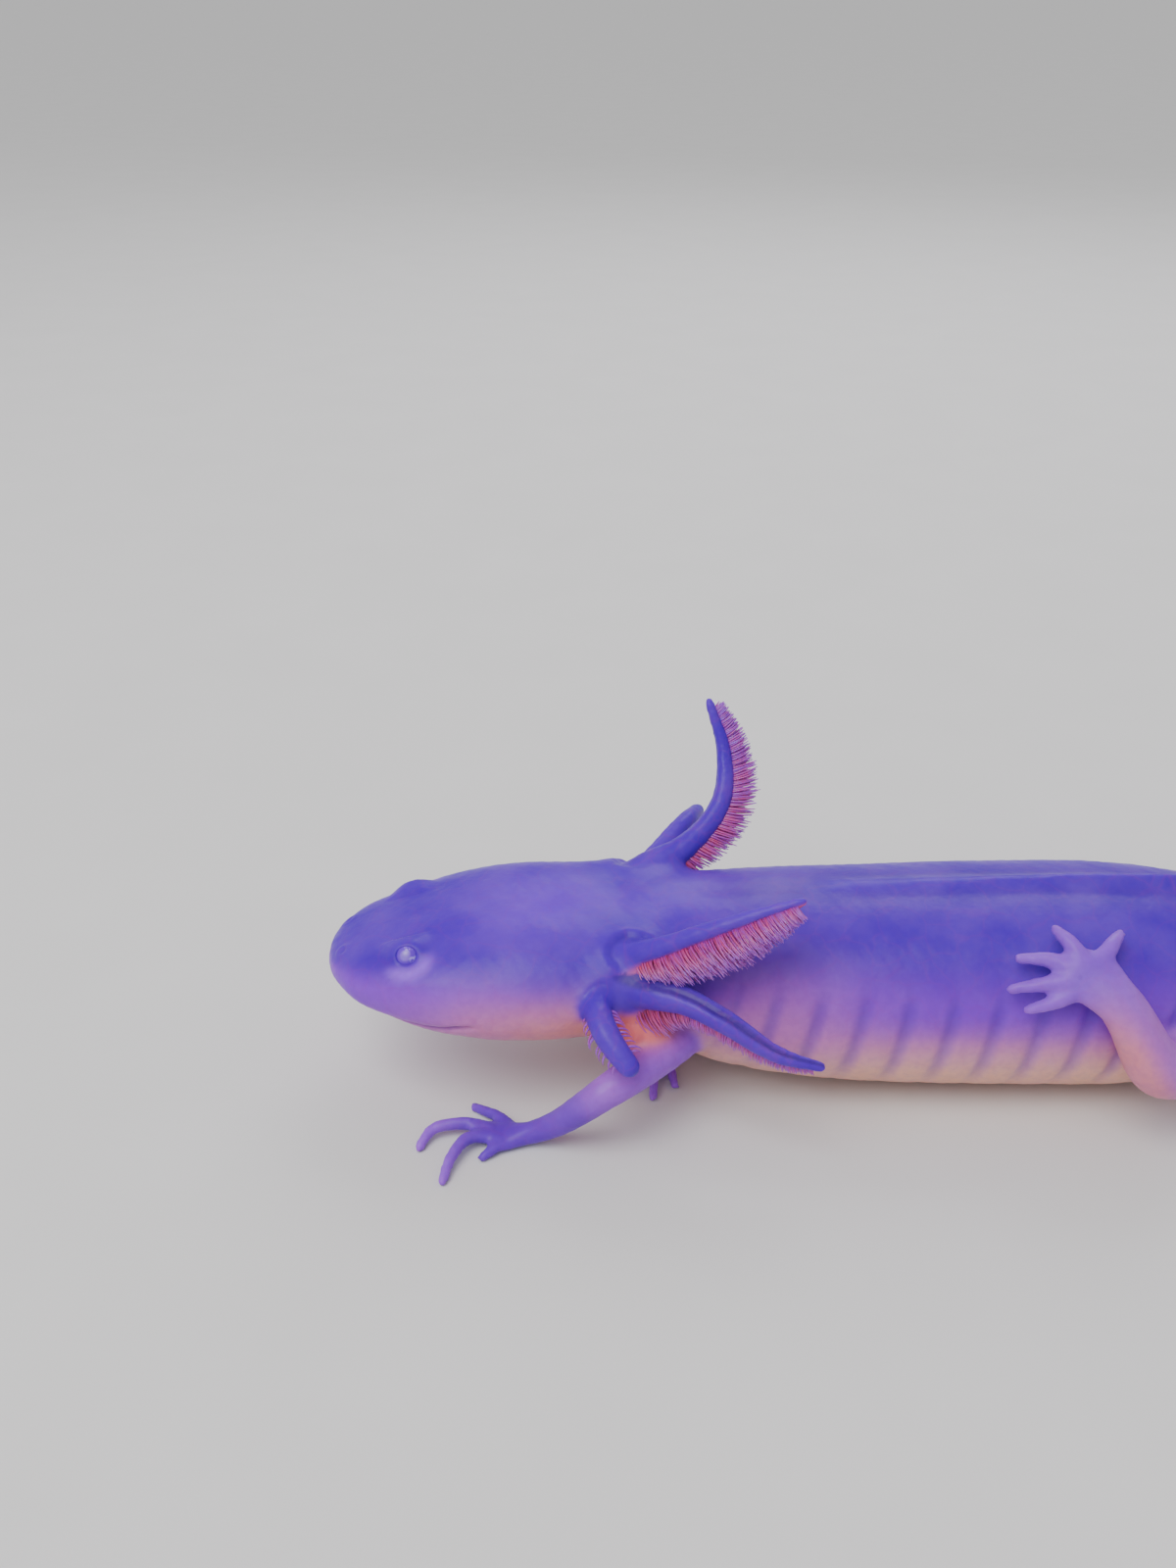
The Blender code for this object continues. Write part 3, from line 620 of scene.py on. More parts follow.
def add_fins(shapes):
    """The fins over and under the tail, with their roots inside the flesh and a faint wave at the edge."""
    for table, side in ((TOP_FIN, 1), (BOTTOM_FIN, -1)):
        start = table[0][0]
        reach = ((start - 9, -1.4),) + table + ((245.4, 0.5),)
        stations = np.linspace(start - 8, 245.0, 240)
        centre, along, across, up = backbone(stations)
        width, above, below = body_size(stations)
        flesh = (above if side > 0 else below) + GAP
        height = table_curve(reach, stations)
        half = np.minimum(FIN_HALF, width * 0.6)
        other_side = tuple((-w, deep, share) for w, deep, share in FIN_SECTION[::-1])
        rings = []
        for i in range(len(stations)):
            wave = FIN_WAVE * math.sin(stations[i] / FIN_WAVE_STEP) * ramp(150, 190, stations[i])
            ring = []
            for w, deep, share in FIN_SECTION + ((0.0, 0.0, 1.0),) + other_side:
                y = w * max(half[i], FIN_LEAST_HALF) + wave * share**2 * min(height[i], 8.0) / 8.0
                z = flesh[i] + deep + max(height[i], 0.0) * share + min(height[i], 0.0)
                ring.append(centre[i] + across[i] * y + up[i] * side * z)
            rings.append(np.array(ring[::side]))
        shapes.loft("fin", rings)


def add_cups(shapes):
    """A low fold of skin between the roots of the gills and the shoulder."""
    sides = 24
    around = 2 * math.pi * np.arange(sides) / sides
    for middle in CUPS:
        rings = []
        for turn in np.linspace(0, math.pi, 16)[1:-1]:
            wide = math.sin(turn)
            ring = [np.full(sides, math.cos(turn)), wide * np.cos(around), wide * np.sin(around)]
            ring = np.stack(ring, axis=1)
            rings.append(np.asarray(middle) + ring * CUP_SIZE + UP * CUP_DROP)
        shapes.loft("body", rings)


def add_web(shapes, part, tubes, reach, half):
    """A thin web between two tubes, drawn back between them."""
    rings = []
    for t in np.linspace(0.02, reach, 10):
        ends = [tube.line(tube.at[-1] * t) for tube in tubes]
        back = np.mean([tube.line(tube.at[-1] * t * WEB_BACK) for tube in tubes], axis=0)
        line = [ends[0], (ends[0] + 3 * back) / 4, back, (ends[1] + 3 * back) / 4, ends[1]]
        rings.append(np.array([p + half for p in line] + [p - half for p in line[::-1]]))
    shapes.loft(part, rings)


def add_limbs(shapes):
    """Arms and legs with their palms, digits and the webs between these."""
    for name, plan in LIMBS.items():
        tube = Tube(plan["path"], plan["width"], plan["thick"], plan["across"])
        rings, tip = tube.rings(60, 32)
        shapes.loft("limb", rings, last=tip)
        digits = []
        for path in plan["digits"]:
            taper = np.linspace(plan["digit_base"], DIGIT_TIP, len(path)) * plan["digit_radius"]
            digits.append(Tube(path, taper, taper, UP))
            rings, tip = digits[-1].rings(24, 14)
            shapes.loft("digit", rings, last=tip)
        _, _, _, normal = tube.place(tube.at[-1])
        for first, second in zip(digits[:-1], digits[1:]):
            add_web(shapes, "digit", (first, second), WEB_REACH[name[:3]], normal * WEB_HALF)


def gill_tube(plan):
    """A gill's stalk."""
    shares, taper = zip(*STALK_TAPER)
    half = [plan["radius"] * (t + (1 - t) * plan["blunt"]) for t in taper]
    return Tube(plan["path"], half, half, plan["hang"], shares)


def add_gills(shapes):
    """The stalks of the gills, broad where they leave the head."""
    for name, plan in GILLS.items():
        tube = gill_tube(plan)
        rings, tip = tube.rings(60, 32)
        for i, ring in enumerate(rings):
            share = i / len(rings)
            centre = np.mean(ring, axis=0)
            flare = 1 + (table_curve(STALK_FLARE, share) - 1) * plan["flare"]
            rings[i] = centre + (ring - centre) * flare
        shapes.loft(name, rings, last=tip)


def add_gill_webs(shapes):
    """A web of the head's skin between the roots of the upper two gills on each side."""
    for side in ("left", "right"):
        tubes = [gill_tube(GILLS[f"gill_{side}_{level}"]) for level in ("upper", "middle")]
        ends = [tube.line(tube.at[-1] * GILL_WEB_REACH) for tube in tubes]
        forward = sum(ends) - sum(tube.line(0.0) for tube in tubes)
        half = unit(np.cross(ends[1] - ends[0], forward)) * GILL_WEB_HALF
        add_web(shapes, "body", tubes, GILL_WEB_REACH, half)


# ---------------- the skin's mesh


class Net:
    """A mesh as arrays, whose points can be smoothed and moved along their normals."""

    def __init__(self, mesh):
        self.points = np.empty(len(mesh.vertices) * 3)
        mesh.vertices.foreach_get("co", self.points)
        self.points = self.points.reshape(-1, 3)
        edges = np.empty(len(mesh.edges) * 2, int)
        mesh.edges.foreach_get("vertices", edges)
        self.a, self.b = edges.reshape(-1, 2).T
        count = len(self.points)
        self.links = np.bincount(self.a, minlength=count) + np.bincount(self.b, minlength=count)
        self.corners = np.empty(len(mesh.loops), int)
        mesh.loops.foreach_get("vertex_index", self.corners)
        self.starts = np.empty(len(mesh.polygons), int)
        mesh.polygons.foreach_get("loop_start", self.starts)

    def around(self, values):
        """The mean of each point's neighbours."""
        values = np.asarray(values, float)
        flat = values.reshape(len(values), -1)
        count = len(flat)
        found = np.empty_like(flat)
        for k in range(flat.shape[1]):
            found[:, k] = np.bincount(self.a, flat[self.b, k], count)
            found[:, k] += np.bincount(self.b, flat[self.a, k], count)
        return (found / self.links[:, None]).reshape(values.shape)

    def blurred(self, values, rounds):
        """Values spread over their neighbours."""
        for _ in range(rounds):
            values = 0.5 * values + 0.5 * self.around(values)
        return values

    def smooth(self, weight, rounds, step=0.5, back=0.0):
        """Draws points towards their neighbours, and lets them out again by the second step."""
        weight = np.asarray(weight, float).reshape(-1, 1)
        for _ in range(rounds):
            self.points += step * weight * (self.around(self.points) - self.points)
            if back:
                self.points -= back * weight * (self.around(self.points) - self.points)

    def even(self, weight, rounds):
        """Smooths without drawing the shape in."""
        self.smooth(weight, rounds, 0.5, 0.53)

    def fill(self, weight, rounds):
        """Fills hollows, and leaves what stands out as it is."""
        near = weight > 0.01
        chosen = np.flatnonzero(near)
        order = np.cumsum(near) - 1
        ends = order[np.concatenate((self.a[near[self.a]], self.b[near[self.b]]))]
        others = np.concatenate((self.b[near[self.a]], self.a[near[self.b]]))
        count, links = len(chosen), self.links[chosen]
        for turn in range(rounds):
            if turn % 30 == 0:
                out = self.normals()[chosen]
            mean = [np.bincount(ends, self.points[others, k], count) / links for k in range(3)]
            move = np.stack(mean, axis=1) - self.points[chosen]
            hollow = np.sum(move * out, axis=1) > 0
            self.points[chosen] += (0.5 * weight[chosen] * hollow)[:, None] * move

    def normals(self):
        """The direction out of the skin at each point."""
        p = self.points[self.corners]
        ends = np.append(self.starts[1:], len(self.corners))
        after = np.arange(1, len(self.corners) + 1)
        after[ends - 1] = self.starts
        cross = np.cross(p, p[after])
        area = np.add.reduceat(cross, self.starts, axis=0)
        each = np.repeat(area, ends - self.starts, axis=0)
        found = np.stack([np.bincount(self.corners, each[:, k], len(self.points)) for k in range(3)], axis=1)
        return found / np.maximum(np.linalg.norm(found, axis=1, keepdims=True), 1e-12)


def mesh_of(name, points, faces):
    """A mesh from points and faces."""
    mesh = bpy.data.meshes.new(name)
    mesh.from_pydata(np.asarray(points, float).tolist(), [], faces)
    mesh.update()
    return mesh


def placed(name, mesh):
    """An object in the scene."""
    found = bpy.data.objects.new(name, mesh)
    bpy.context.scene.collection.objects.link(found)
    return found


def one_surface(shapes):
    """All the shapes as one closed mesh of even cells."""
    rough = placed("skin_rough", mesh_of("skin_rough", shapes.points, shapes.faces))
    step = rough.modifiers.new("join", "REMESH")
    step.mode = "VOXEL"
    step.voxel_size = CELL
    graph = bpy.context.evaluated_depsgraph_get()
    mesh = bpy.data.meshes.new_from_object(rough.evaluated_get(graph))
    bpy.data.objects.remove(rough)
    return mesh


def split_where(mesh, near):
    """Splits the faces whose middles are chosen, for finer forms there."""
    work = bmesh.new()
    work.from_mesh(mesh)
    middles = np.array([face.calc_center_median() for face in work.faces])
    chosen = near(middles)
    work.faces.ensure_lookup_table()
    edges = {edge for i in np.flatnonzero(chosen) for edge in work.faces[i].edges}
    bmesh.ops.subdivide_edges(work, edges=list(edges), cuts=1, use_grid_fill=True)
    work.to_mesh(mesh)
    work.free()


def near_eye(points, reach):
    """Points near either eye."""
    return np.any([apart(points, place) < reach for place in EYE_PLACES.values()], axis=0)


def mouth_gap(points):
    """How far each point is above the mouth's line."""
    return points[:, 2] - table_curve(MOUTH_LINE, points[:, 0])


def near_face(points):
    """Points near the eyes, the mouth's line or the nostrils."""
    mouth = (np.abs(mouth_gap(points)) < 2.0) & (points[:, 0] < MOUTH_CORNER + 3)
    snout = (points[:, 0] < 6) & (np.abs(mouth_gap(points)) < 7)
    return near_eye(points, EYE_FINE) | mouth | snout


# ---------------- the skin's forms


def part_shares(net, shapes):
    """How much each point belongs to each kind of part, from the nearest shape."""
    tree = BVHTree.FromPolygons([Vector(p) for p in shapes.points], shapes.faces)
    nearest = [tree.find_nearest(Vector(p))[2] for p in net.points]
    names = np.array(shapes.parts)[nearest]
    names = np.where(np.char.startswith(names, "gill"), "gill", names)
    return {kind: (names == kind).astype(float) for kind in ("body", "fin", "limb", "digit", "gill")}


def near_any(net, places, reach):
    """1 at any of some places, falling off over the reach."""
    return np.max([bell(apart(net.points, place), reach) for place in places], axis=0)


def fillet(net, shares):
    """Rounds the corners where limbs, gills and fins leave the body."""
    soft = {kind: net.blurred(share, 10) for kind, share in shares.items()}
    few = {kind: net.blurred(share, 4) for kind, share in shares.items()}
    root = np.clip(5 * soft["body"] * soft["limb"], 0, 1)
    stalk = np.clip(6 * soft["body"] * soft["gill"], 0, 1)
    fin = np.clip(4 * few["body"] * few["fin"], 0, 1)
    palm = np.clip(4 * few["limb"] * few["digit"], 0, 1)
    net.smooth(np.maximum(root, stalk), ROOT_ROUNDS)
    for place, reach, rounds in CAP_AND_ROOT:
        near_root = near_any(net, [np.asarray(place) @ plan["path"][:2] for plan in GILLS.values()], reach)
        net.smooth(near_root, rounds)
    net.fill(np.clip(1.8 * near_root, 0, 1) * ramp(FILL_LOW, FILL_HIGH, net.points[:, 2]), FILL_ROUNDS)
    net.smooth(near_any(net, [plan["path"][-1] for plan in LIMBS.values()], PALM_REACH), PALM_ROUNDS)
    net.smooth(np.maximum(fin, palm), EDGE_ROUNDS)
    low_fin = (few["fin"] > 0.02) & (np.abs(net.points[:, 0]) < LOW_FIN_END)
    net.smooth(np.clip(2 * net.blurred(low_fin.astype(float), 8), 0, 1), LOW_FIN_ROUNDS)
    net.even(np.ones(len(net.points)), 10)


def rest_on_floor(net):
    """Presses what would lie under the floor flat onto it."""
    net.points[:, 2] = np.maximum(net.points[:, 2], 0.0)


def eye_frame(side):
    """The directions out of an eye, along its opening and up it."""
    gaze = unit(GAZES[side])
    level = unit(np.array((1.0, 0.0, 0.0)) - gaze * gaze[0])
    return gaze, level, np.cross(gaze, level)


def shape_eyes(net):
    """Raises a low mound round each eye, with lids round an opening."""
    for side, place in EYE_PLACES.items():
        gaze, level, rise = eye_frame(side)
        offset = net.points - place
        height = offset @ gaze
        a, b = offset @ level / LID_LENGTH, offset @ rise / LID_HEIGHT
        out = np.hypot(a, b)
        close = (apart(net.points, place) < 7) & (height > -1.5)
        lid = math.sqrt((EYE_RADIUS + LID_RISE) ** 2 - (LID_HEIGHT * LID_EDGE) ** 2)
        mound = lid - MOUND_FALL * ramp(LID_EDGE, MOUND_REACH, out)
        wanted = LID_INSIDE + (mound - LID_INSIDE) * ramp(1.0, LID_EDGE, out)
        share = ramp(MOUND_REACH, MOUND_EDGE, out)
        change = wanted - height
        outer = ramp(LID_EDGE, 1.5, out)
        change = change * (1 - outer) + np.logaddexp(0.0, change / 0.3) * 0.3 * outer
        moved = height + change * share
        net.points += np.where(close, moved - height, 0.0)[:, None] * gaze


def head_forms(points, y, z, s):
    """How far the head's skin stands out: lips, nostrils, jaw muscles and the folds behind the throat."""
    gap = mouth_gap(points)
    mouth = ramp(MOUTH_CORNER + 2.0, MOUTH_CORNER - 0.5, s)
    lips = -0.50 * bell(gap, 0.40) + 0.10 * bell(gap - 1.2, 0.9) + 0.12 * bell(gap + 1.3, 0.9)
    found = mouth * lips
    for side in (-1, 1):
        across = np.hypot(np.hypot((s - NOSTRIL[0]) * 0.8, y - side * NOSTRIL[1]), z - NOSTRIL[2])
        found += -0.75 * bell(across, 0.5) + 0.16 * bell(across - 0.95, 0.4)
        cheek = np.hypot((s - 29) / 9, (y - side * 9.5) / 5.5)
        found += 0.65 * bell(cheek, 1.0) * ramp(0, 3, z)
        corner = np.hypot((s - 42.0) / 4.2, (y - side * 11.0) / 4.5)
        found += 1.1 * bell(corner, 1.0) * ramp(-1, 3, z)
    found += -0.45 * bell((s - 30) / 11, 1.0) * bell(y, 3.2) * ramp(2, 5, z)
    found += -0.35 * bell(s - 41.0, 2.4) * ramp(3, 7, z) * bell(y, 9)
    throat = ramp(1.0, -4.0, z)
    found += throat * (-0.75 * bell(s - GULAR_FOLD, 0.8) + 0.45 * bell(s - GULAR_FOLD + 2.2, 1.6))
    found += throat * -0.28 * bell(s - GULAR_FOLD - 3.4, 0.6)
    return found


def trunk_forms(y, z, s):
    """How far the trunk and tail's skin stands out: grooves between the ribs and the tail's muscles."""
    slanted = s - COSTAL_SLANT * z
    phase = (slanted - COSTAL_START) / COSTAL_STEP
    off = (phase - np.round(phase)) * COSTAL_STEP
    band = ramp(COSTAL_START - 3, COSTAL_START + 2, slanted) * ramp(COSTAL_END + 2, COSTAL_END - 3, slanted)
    side = ramp(-13, -6, z) * ramp(10.5, 1.5, z)
    found = band * side * (-0.50 * bell(off, 0.9) + 0.10 * bell(np.abs(off) - COSTAL_STEP / 2, 1.6))
    phase = (s + MYOMERE_SLANT * np.abs(z)) / MYOMERE_STEP
    off = (phase - np.round(phase)) * MYOMERE_STEP
    tail = ramp(134, 146, s) * ramp(236, 215, s)
    found += -0.20 * tail * bell(off, 0.6) - 0.22 * ramp(140, 150, s) * bell(z, 0.7)
    found += -0.25 * bell(y, 2.2) * ramp(4, 9, z) * ramp(43, 56, s) * ramp(82, 64, s)
    return found


def gill_forms(facing, along, groove):
    """How far a gill's stalk stands out: a groove along its outer side, narrower than the stalk."""
    away = np.arccos(np.clip(-facing, -1, 1))
    reach = ramp(0.24, 0.4, along) * ramp(0.96, 0.84, along)
    return groove * reach * (-0.42 * bell(away, 0.30) + 0.10 * bell(away - 0.85, 0.35))


def near_gills(points):
    """Points near the stalks of the gills."""
    _, along, away, _ = gill_facing(points)
    return (away < GILL_FINE) & (along > GILL_FINE_FROM)


def vent(y, z, s):
    """The swelling round the vent, under the root of the tail."""
    return 0.9 * bell(np.hypot((s - 139) / 4.5, y / 3.0), 1.0) * ramp(-2, -6, z)


def fine_skin(points):
    """A faint unevenness all over, from a few waves that don't repeat together."""
    x, y, z = points.T
    long_waves = np.sin(1.9 * x + 1.3 * y) * np.sin(1.7 * z + 0.8 * x)
    short_waves = np.sin(3.1 * x - 2.3 * z) * np.sin(2.9 * y + 1.1 * z)
    return 0.025 * (long_waves + 0.7 * short_waves)


# ---------------- colours


def linear(colour):
    """A colour as seen on a screen, in the renderer's linear values."""
    colour = np.asarray(colour, float)
    return np.where(colour <= 0.04045, colour / 12.92, ((colour + 0.055) / 1.055) ** 2.4)


def layered(base, *layers):
    """Colours with others laid over them in turn, each by its share at each point."""
    for colour, share in layers:
        base = base + (linear(colour) - base) * np.asarray(share, float)[:, None]
    return base


def gill_facing(points):
    """Where each point is on its stalk: 1 towards the filaments, share along, distance and groove's depth."""
    facing, along, groove = np.zeros((3, len(points)))
    away = np.full(len(points), 1e9)
    for plan in GILLS.values():
        tube = gill_tube(plan)
        near = np.flatnonzero(apart(points, np.mean(tube.path, axis=0)) < tube.at[-1])
        for share in np.linspace(0.0, 1.0, 50):
            centre, forward, hang, _ = tube.place(share * tube.at[-1])
            offset = points[near] - centre
            distance = np.linalg.norm(offset, axis=1)
            closer = distance < away[near]
            chosen = near[closer]
            away[chosen] = distance[closer]
            beside = offset[closer] - (offset[closer] @ forward)[:, None] * forward
            facing[chosen] = (beside @ hang) / np.maximum(np.linalg.norm(beside, axis=1), 1e-6)
            along[chosen] = share
            groove[chosen] = plan["groove"]
    return facing, along, away, groove


def body_tones(found, body, s, y, z, rise):
    """Painted violet light over the top, a painted shade line along the back, a painted highlight on the
    head's top, a mauve flank with painted shade in the grooves between the ribs, and a cream belly.
    """
    # A painted shade line along the top of the back.
    line = bell(y, 5.0) * ramp(0.5, 0.9, rise) * ramp(44, 60, s)
    # A painted highlight on the top of the head, stronger higher up.
    crown_highlight = bell(np.hypot((s - 36) / 13, (y + 3) / 8), 1.0) * ramp(0.1, 0.8, rise)
    belly = ramp(0.12, -0.5, rise) * ramp(38, 50, s) * (1 - 0.75 * ramp(135, 185, s))
    glow = bell(np.hypot((s - 62) / 13, (rise - 0.05) / 0.5), 1.0)
    off = (s - COSTAL_SLANT * z - COSTAL_START) / COSTAL_STEP
    # Painted shade in the grooves between the ribs, on the flank.
    costal_shade = ramp(0.28, 0.04, np.abs(off - np.round(off))) * ramp(54, 60, s) * ramp(126, 120, s)
    return layered(
        found,
        # Painted violet light, strongest on top, where it falls from above.
        (LILAC, ramp(0.25, 0.8, rise) * 0.95),
        (PAINTED_SHADE, body * line * 0.45),
        (CROWN_HIGHLIGHT, body * crown_highlight * 0.8),
        (MAUVE, body * ramp(0.3, -0.15, rise) * ramp(38, 50, s)),
        (CREAM, body * belly),
        (MAUVE, body * glow * 0.9),
        (LILAC, body * costal_shade * ramp(0.55, 0.2, rise) * ramp(-0.75, -0.3, rise) * 0.42),
    )


def face_tones(found, body, gap, s):
    """Mauve cheeks, paler lips and a warm throat where the painted violet light from above gives way, and the
    mouth's dark line.
    """
    face = ramp(50, 38, s)
    line = bell(gap + 0.05, 0.35) * ramp(MOUTH_CORNER + 1.5, MOUTH_CORNER - 2, s)
    return layered(
        found,
        (MAUVE, body * face * ramp(8.5, 0.5, gap) * ramp(3, 22, s) * 0.85),
        (LIP, body * face * ramp(2.0, -1.5, gap) * 0.9),
        (WARM, body * face * ramp(6.5, -1.5, gap) * ramp(12, 38, s) * 0.85),
        (MOUTH_SHADE, body * line * 0.6),
    )


def beyond_elbow(points):
    """How far each point lies beyond the right elbow, the way that forearm points, to the animal's left."""
    elbow, wrist = np.asarray(LIMBS["arm_right"]["path"][2:4])
    return (points - elbow) @ unit(wrist - elbow)


def gill_tones(found, gill, facing, groove, points):
    """Stalks with painted violet light on the side away from the filaments, a flush by the filaments and
    painted shade in the groove: the right ones only at their roots.
    """
    left = beyond_elbow(points)
    return layered(
        found,
        # Painted violet light on the side away from the filaments.
        (STALK, gill * ramp(0.8, 0.2, facing)),
        (BLUSH, gill * ramp(0.5, 0.95, facing) * ramp(0.1, 0.3, left) * 0.8),
        # Painted shade in the groove along the stalk's outer side.
        (PAINTED_SHADE, gill * groove * ramp(-0.86, -0.98, facing) * ramp(0.35, 0.5, left)),
    )


def limb_tones(found, limb, digit, points):
    """Pale limbs and digits, warm below the knee or elbow, and painted violet light on the left forearm and
    hand.
    """
    found = layered(found, (PALE, limb * 0.6), (PALE, np.clip(digit, 0, 1) * 0.7))
    for name, warmth in LIMB_WARMTH.items():
        knee, ankle = np.asarray(LIMBS[name]["path"][2:4])
        shank, offset = unit(ankle - knee), points - knee
        under = ramp(1.5, -2.0, (offset - (offset @ shank)[:, None] * shank)[:, 0])
        reach = ramp(18, 7, apart(points, knee))
        found = layered(found, (WARM, limb * warmth * reach * (0.35 + 0.65 * under)))
    # Painted violet light on the left forearm and hand.
    forearm = apart(points, LIMBS["arm_left"]["path"][3])
    return layered(found, (LILAC, (limb + digit) * ramp(16, 8, forearm) * 0.7))


def crescents(found, points):
    """A pale crescent on the skin below each eye."""
    for side, place in EYE_PLACES.items():
        offset = points - place
        _, level, rise = eye_frame(side)
        a, b = offset @ level, offset @ rise * np.sign(rise[2])
        out = np.hypot(0.85 * a, b)
        low = ramp(0.0, -0.95, (b - 0.35 * a) / np.maximum(out, 1e-6))
        crescent = bell(out - CRESCENT_RADIUS, 1.0) * low * (apart(points, place) < 8)
        found = layered(found, (CRESCENT, crescent * 0.75))
    return found


def skin_colours(net, shares, facing, groove):
    """The skin's markings, and how thin it is at each point."""
    points = net.points
    s, y, z = body_place(points)
    soft = {kind: net.blurred(share, 12) for kind, share in shares.items()}
    body, limb, fin, gill = (soft[kind] for kind in ("body", "limb", "fin", "gill"))
    rise = z / np.maximum(body_size(s)[1], 2.0)
    found = np.tile(linear(FLANK), (len(points), 1))
    found = body_tones(found, body, s, y, z, rise)
    for plan in GILLS.values():
        root = bell(apart(points, plan["path"][1]), 9.0)
        found = layered(found, (STALK, body * np.clip(1.5 * root, 0, 1) * ramp(-0.1, 0.3, rise) * 0.85))
    found = face_tones(found, body, mouth_gap(points), s)
    found = limb_tones(found, limb, soft["digit"], points)
    found = layered(found, (FIN, fin * ramp(120, 150, s) * 0.9), (LILAC, fin * ramp(150, 120, s) * 0.9))
    found = gill_tones(found, gill, facing, groove, points)
    for middle in CUPS:
        cup = bell(np.linalg.norm((points - middle) / FLUSH_REACH, axis=1), 1.0)
        found = layered(found, (ORANGE, np.clip(1.7 * cup - 0.25, 0, 1) * (body + 0.5 * limb) * 0.9))
    found = crescents(found, points)
    return np.clip(found, 0, 1), np.clip(fin * ramp(110, 150, s) + 0.1 * gill, 0, 1)


def add_colour(mesh, name, colours):
    """A colour at each point of a mesh."""
    layer = mesh.color_attributes.new(name, "FLOAT_COLOR", "POINT")
    layer.data.foreach_set("color", np.column_stack((colours, np.ones(len(colours)))).ravel())


def add_value(mesh, name, values):
    """A number at each point of a mesh."""
    layer = mesh.attributes.new(name, "FLOAT", "POINT")
    layer.data.foreach_set("value", np.asarray(values, np.float32))


# ---------------- materials


class Finish:
    """A material whose nodes are added one by one."""

    def __init__(self, name):
        self.material = bpy.data.materials.new(name)
        self.material.use_nodes = True
        self.tree = self.material.node_tree
        self.shader = self.tree.nodes["Principled BSDF"]

    def node(self, kind, settings=None, **values):
        """A node with its settings, and with numbers, colours or other nodes' outputs on its inputs."""
        found = self.tree.nodes.new(kind)
        for key, value in (settings or {}).items():
            setattr(found, key, value)
        for key, value in values.items():
            self.give(found, key.replace("_", " "), value)
        return found

    def feed(self, socket, value):
        """Sets a socket or links it."""
        if isinstance(value, bpy.types.NodeSocket):
            self.tree.links.new(value, socket)
        else:
            socket.default_value = value

    def give(self, node, name, value):
        """Feeds one of a node's inputs, by its name or its number."""
        self.feed(node.inputs[int(name)] if name.isdigit() else node.inputs[name], value)

    def attribute(self, name, output):
        """A mesh's own colour or number."""
        return self.node("ShaderNodeAttribute", {"attribute_name": name}).outputs[output]

    def place(self):
        """The object's own coordinates, in metres."""
        return self.node("ShaderNodeTexCoord").outputs["Object"]

    def noise(self, place, scale, detail=3.0, rough=0.5):
        """Soft noise between nought and one."""
        made = self.node("ShaderNodeTexNoise", Vector=place, Scale=scale, Detail=detail, Roughness=rough)
        return made.outputs["Fac"]

    def ramp(self, value, stops):
        """A colour ramp with stops as places and colours."""
        found = self.node("ShaderNodeValToRGB", Fac=value)
        points = found.color_ramp.elements
        while len(points) < len(stops):
            points.new(0.5)
        for point, (at, colour) in zip(points, stops):
            point.position = at
            point.color = (*colour, 1.0)
        return found.outputs["Color"]

    def grey_ramp(self, value, *stops):
        """A ramp of greys."""
        return self.ramp(value, [(at, (grey, grey, grey)) for at, grey in stops])

    def mix(self, share, first, second):
        """Two colours mixed by a share."""
        found = self.node("ShaderNodeMix", {"data_type": "RGBA", "blend_type": "MIX", "clamp_factor": True})
        for name, value in (("Factor", share), ("A", first), ("B", second)):
            self.feed(next(s for s in found.inputs if s.name == name and s.enabled), value)
        return next(s for s in found.outputs if s.enabled)

    def tinge(self, below, colour, share, strength):
        """A colour drawn towards another one, by the product of two numbers."""
        return self.mix(self.multiply(share, strength), below, (*linear(colour), 1.0))

    def tones(self, value, stops):
        """A colour ramp whose stops are given as seen on a screen."""
        return self.ramp(value, [(at, tuple(linear(tone))) for at, tone in stops])

    def spread(self, value, low, high):
        """A number between nought and one, spread between two others."""
        return self.node("ShaderNodeMapRange", Value=value, To_Min=low, To_Max=high).outputs["Result"]

    def cells(self, place, scale, feature):
        """A distance in a pattern of cells."""
        made = self.node("ShaderNodeTexVoronoi", {"feature": feature}, Vector=place, Scale=scale)
        return made.outputs["Distance"]

    def wandering(self, place, scale, reach):
        """A place moved about by soft noise."""
        bent = self.node("ShaderNodeTexNoise", Vector=place, Scale=scale, Detail=2.0).outputs["Color"]
        step = self.node("ShaderNodeVectorMath", {"operation": "SCALE"}, Vector=bent, Scale=reach)
        moved = self.node("ShaderNodeVectorMath", {"operation": "ADD"})
        self.give(moved, "0", place)
        self.give(moved, "1", step.outputs["Vector"])
        return moved.outputs["Vector"]

    def multiply(self, first, second):
        """The product of two numbers."""
        found = self.node("ShaderNodeMath", {"operation": "MULTIPLY"})
        self.give(found, "0", first)
        self.give(found, "1", second)
        return found.outputs[0]

    def bump(self, height, strength, distance, below=None):
        """A bump of the surface, on top of another one."""
        found = self.node("ShaderNodeBump", Height=height, Strength=strength, Distance=distance)
        if below is not None:
            self.give(found, "Normal", below)
        return found.outputs["Normal"]

    def set(self, **values):
        """Sets the shader's own inputs."""
        for key, value in values.items():
            self.give(self.shader, key.replace("_", " "), value)


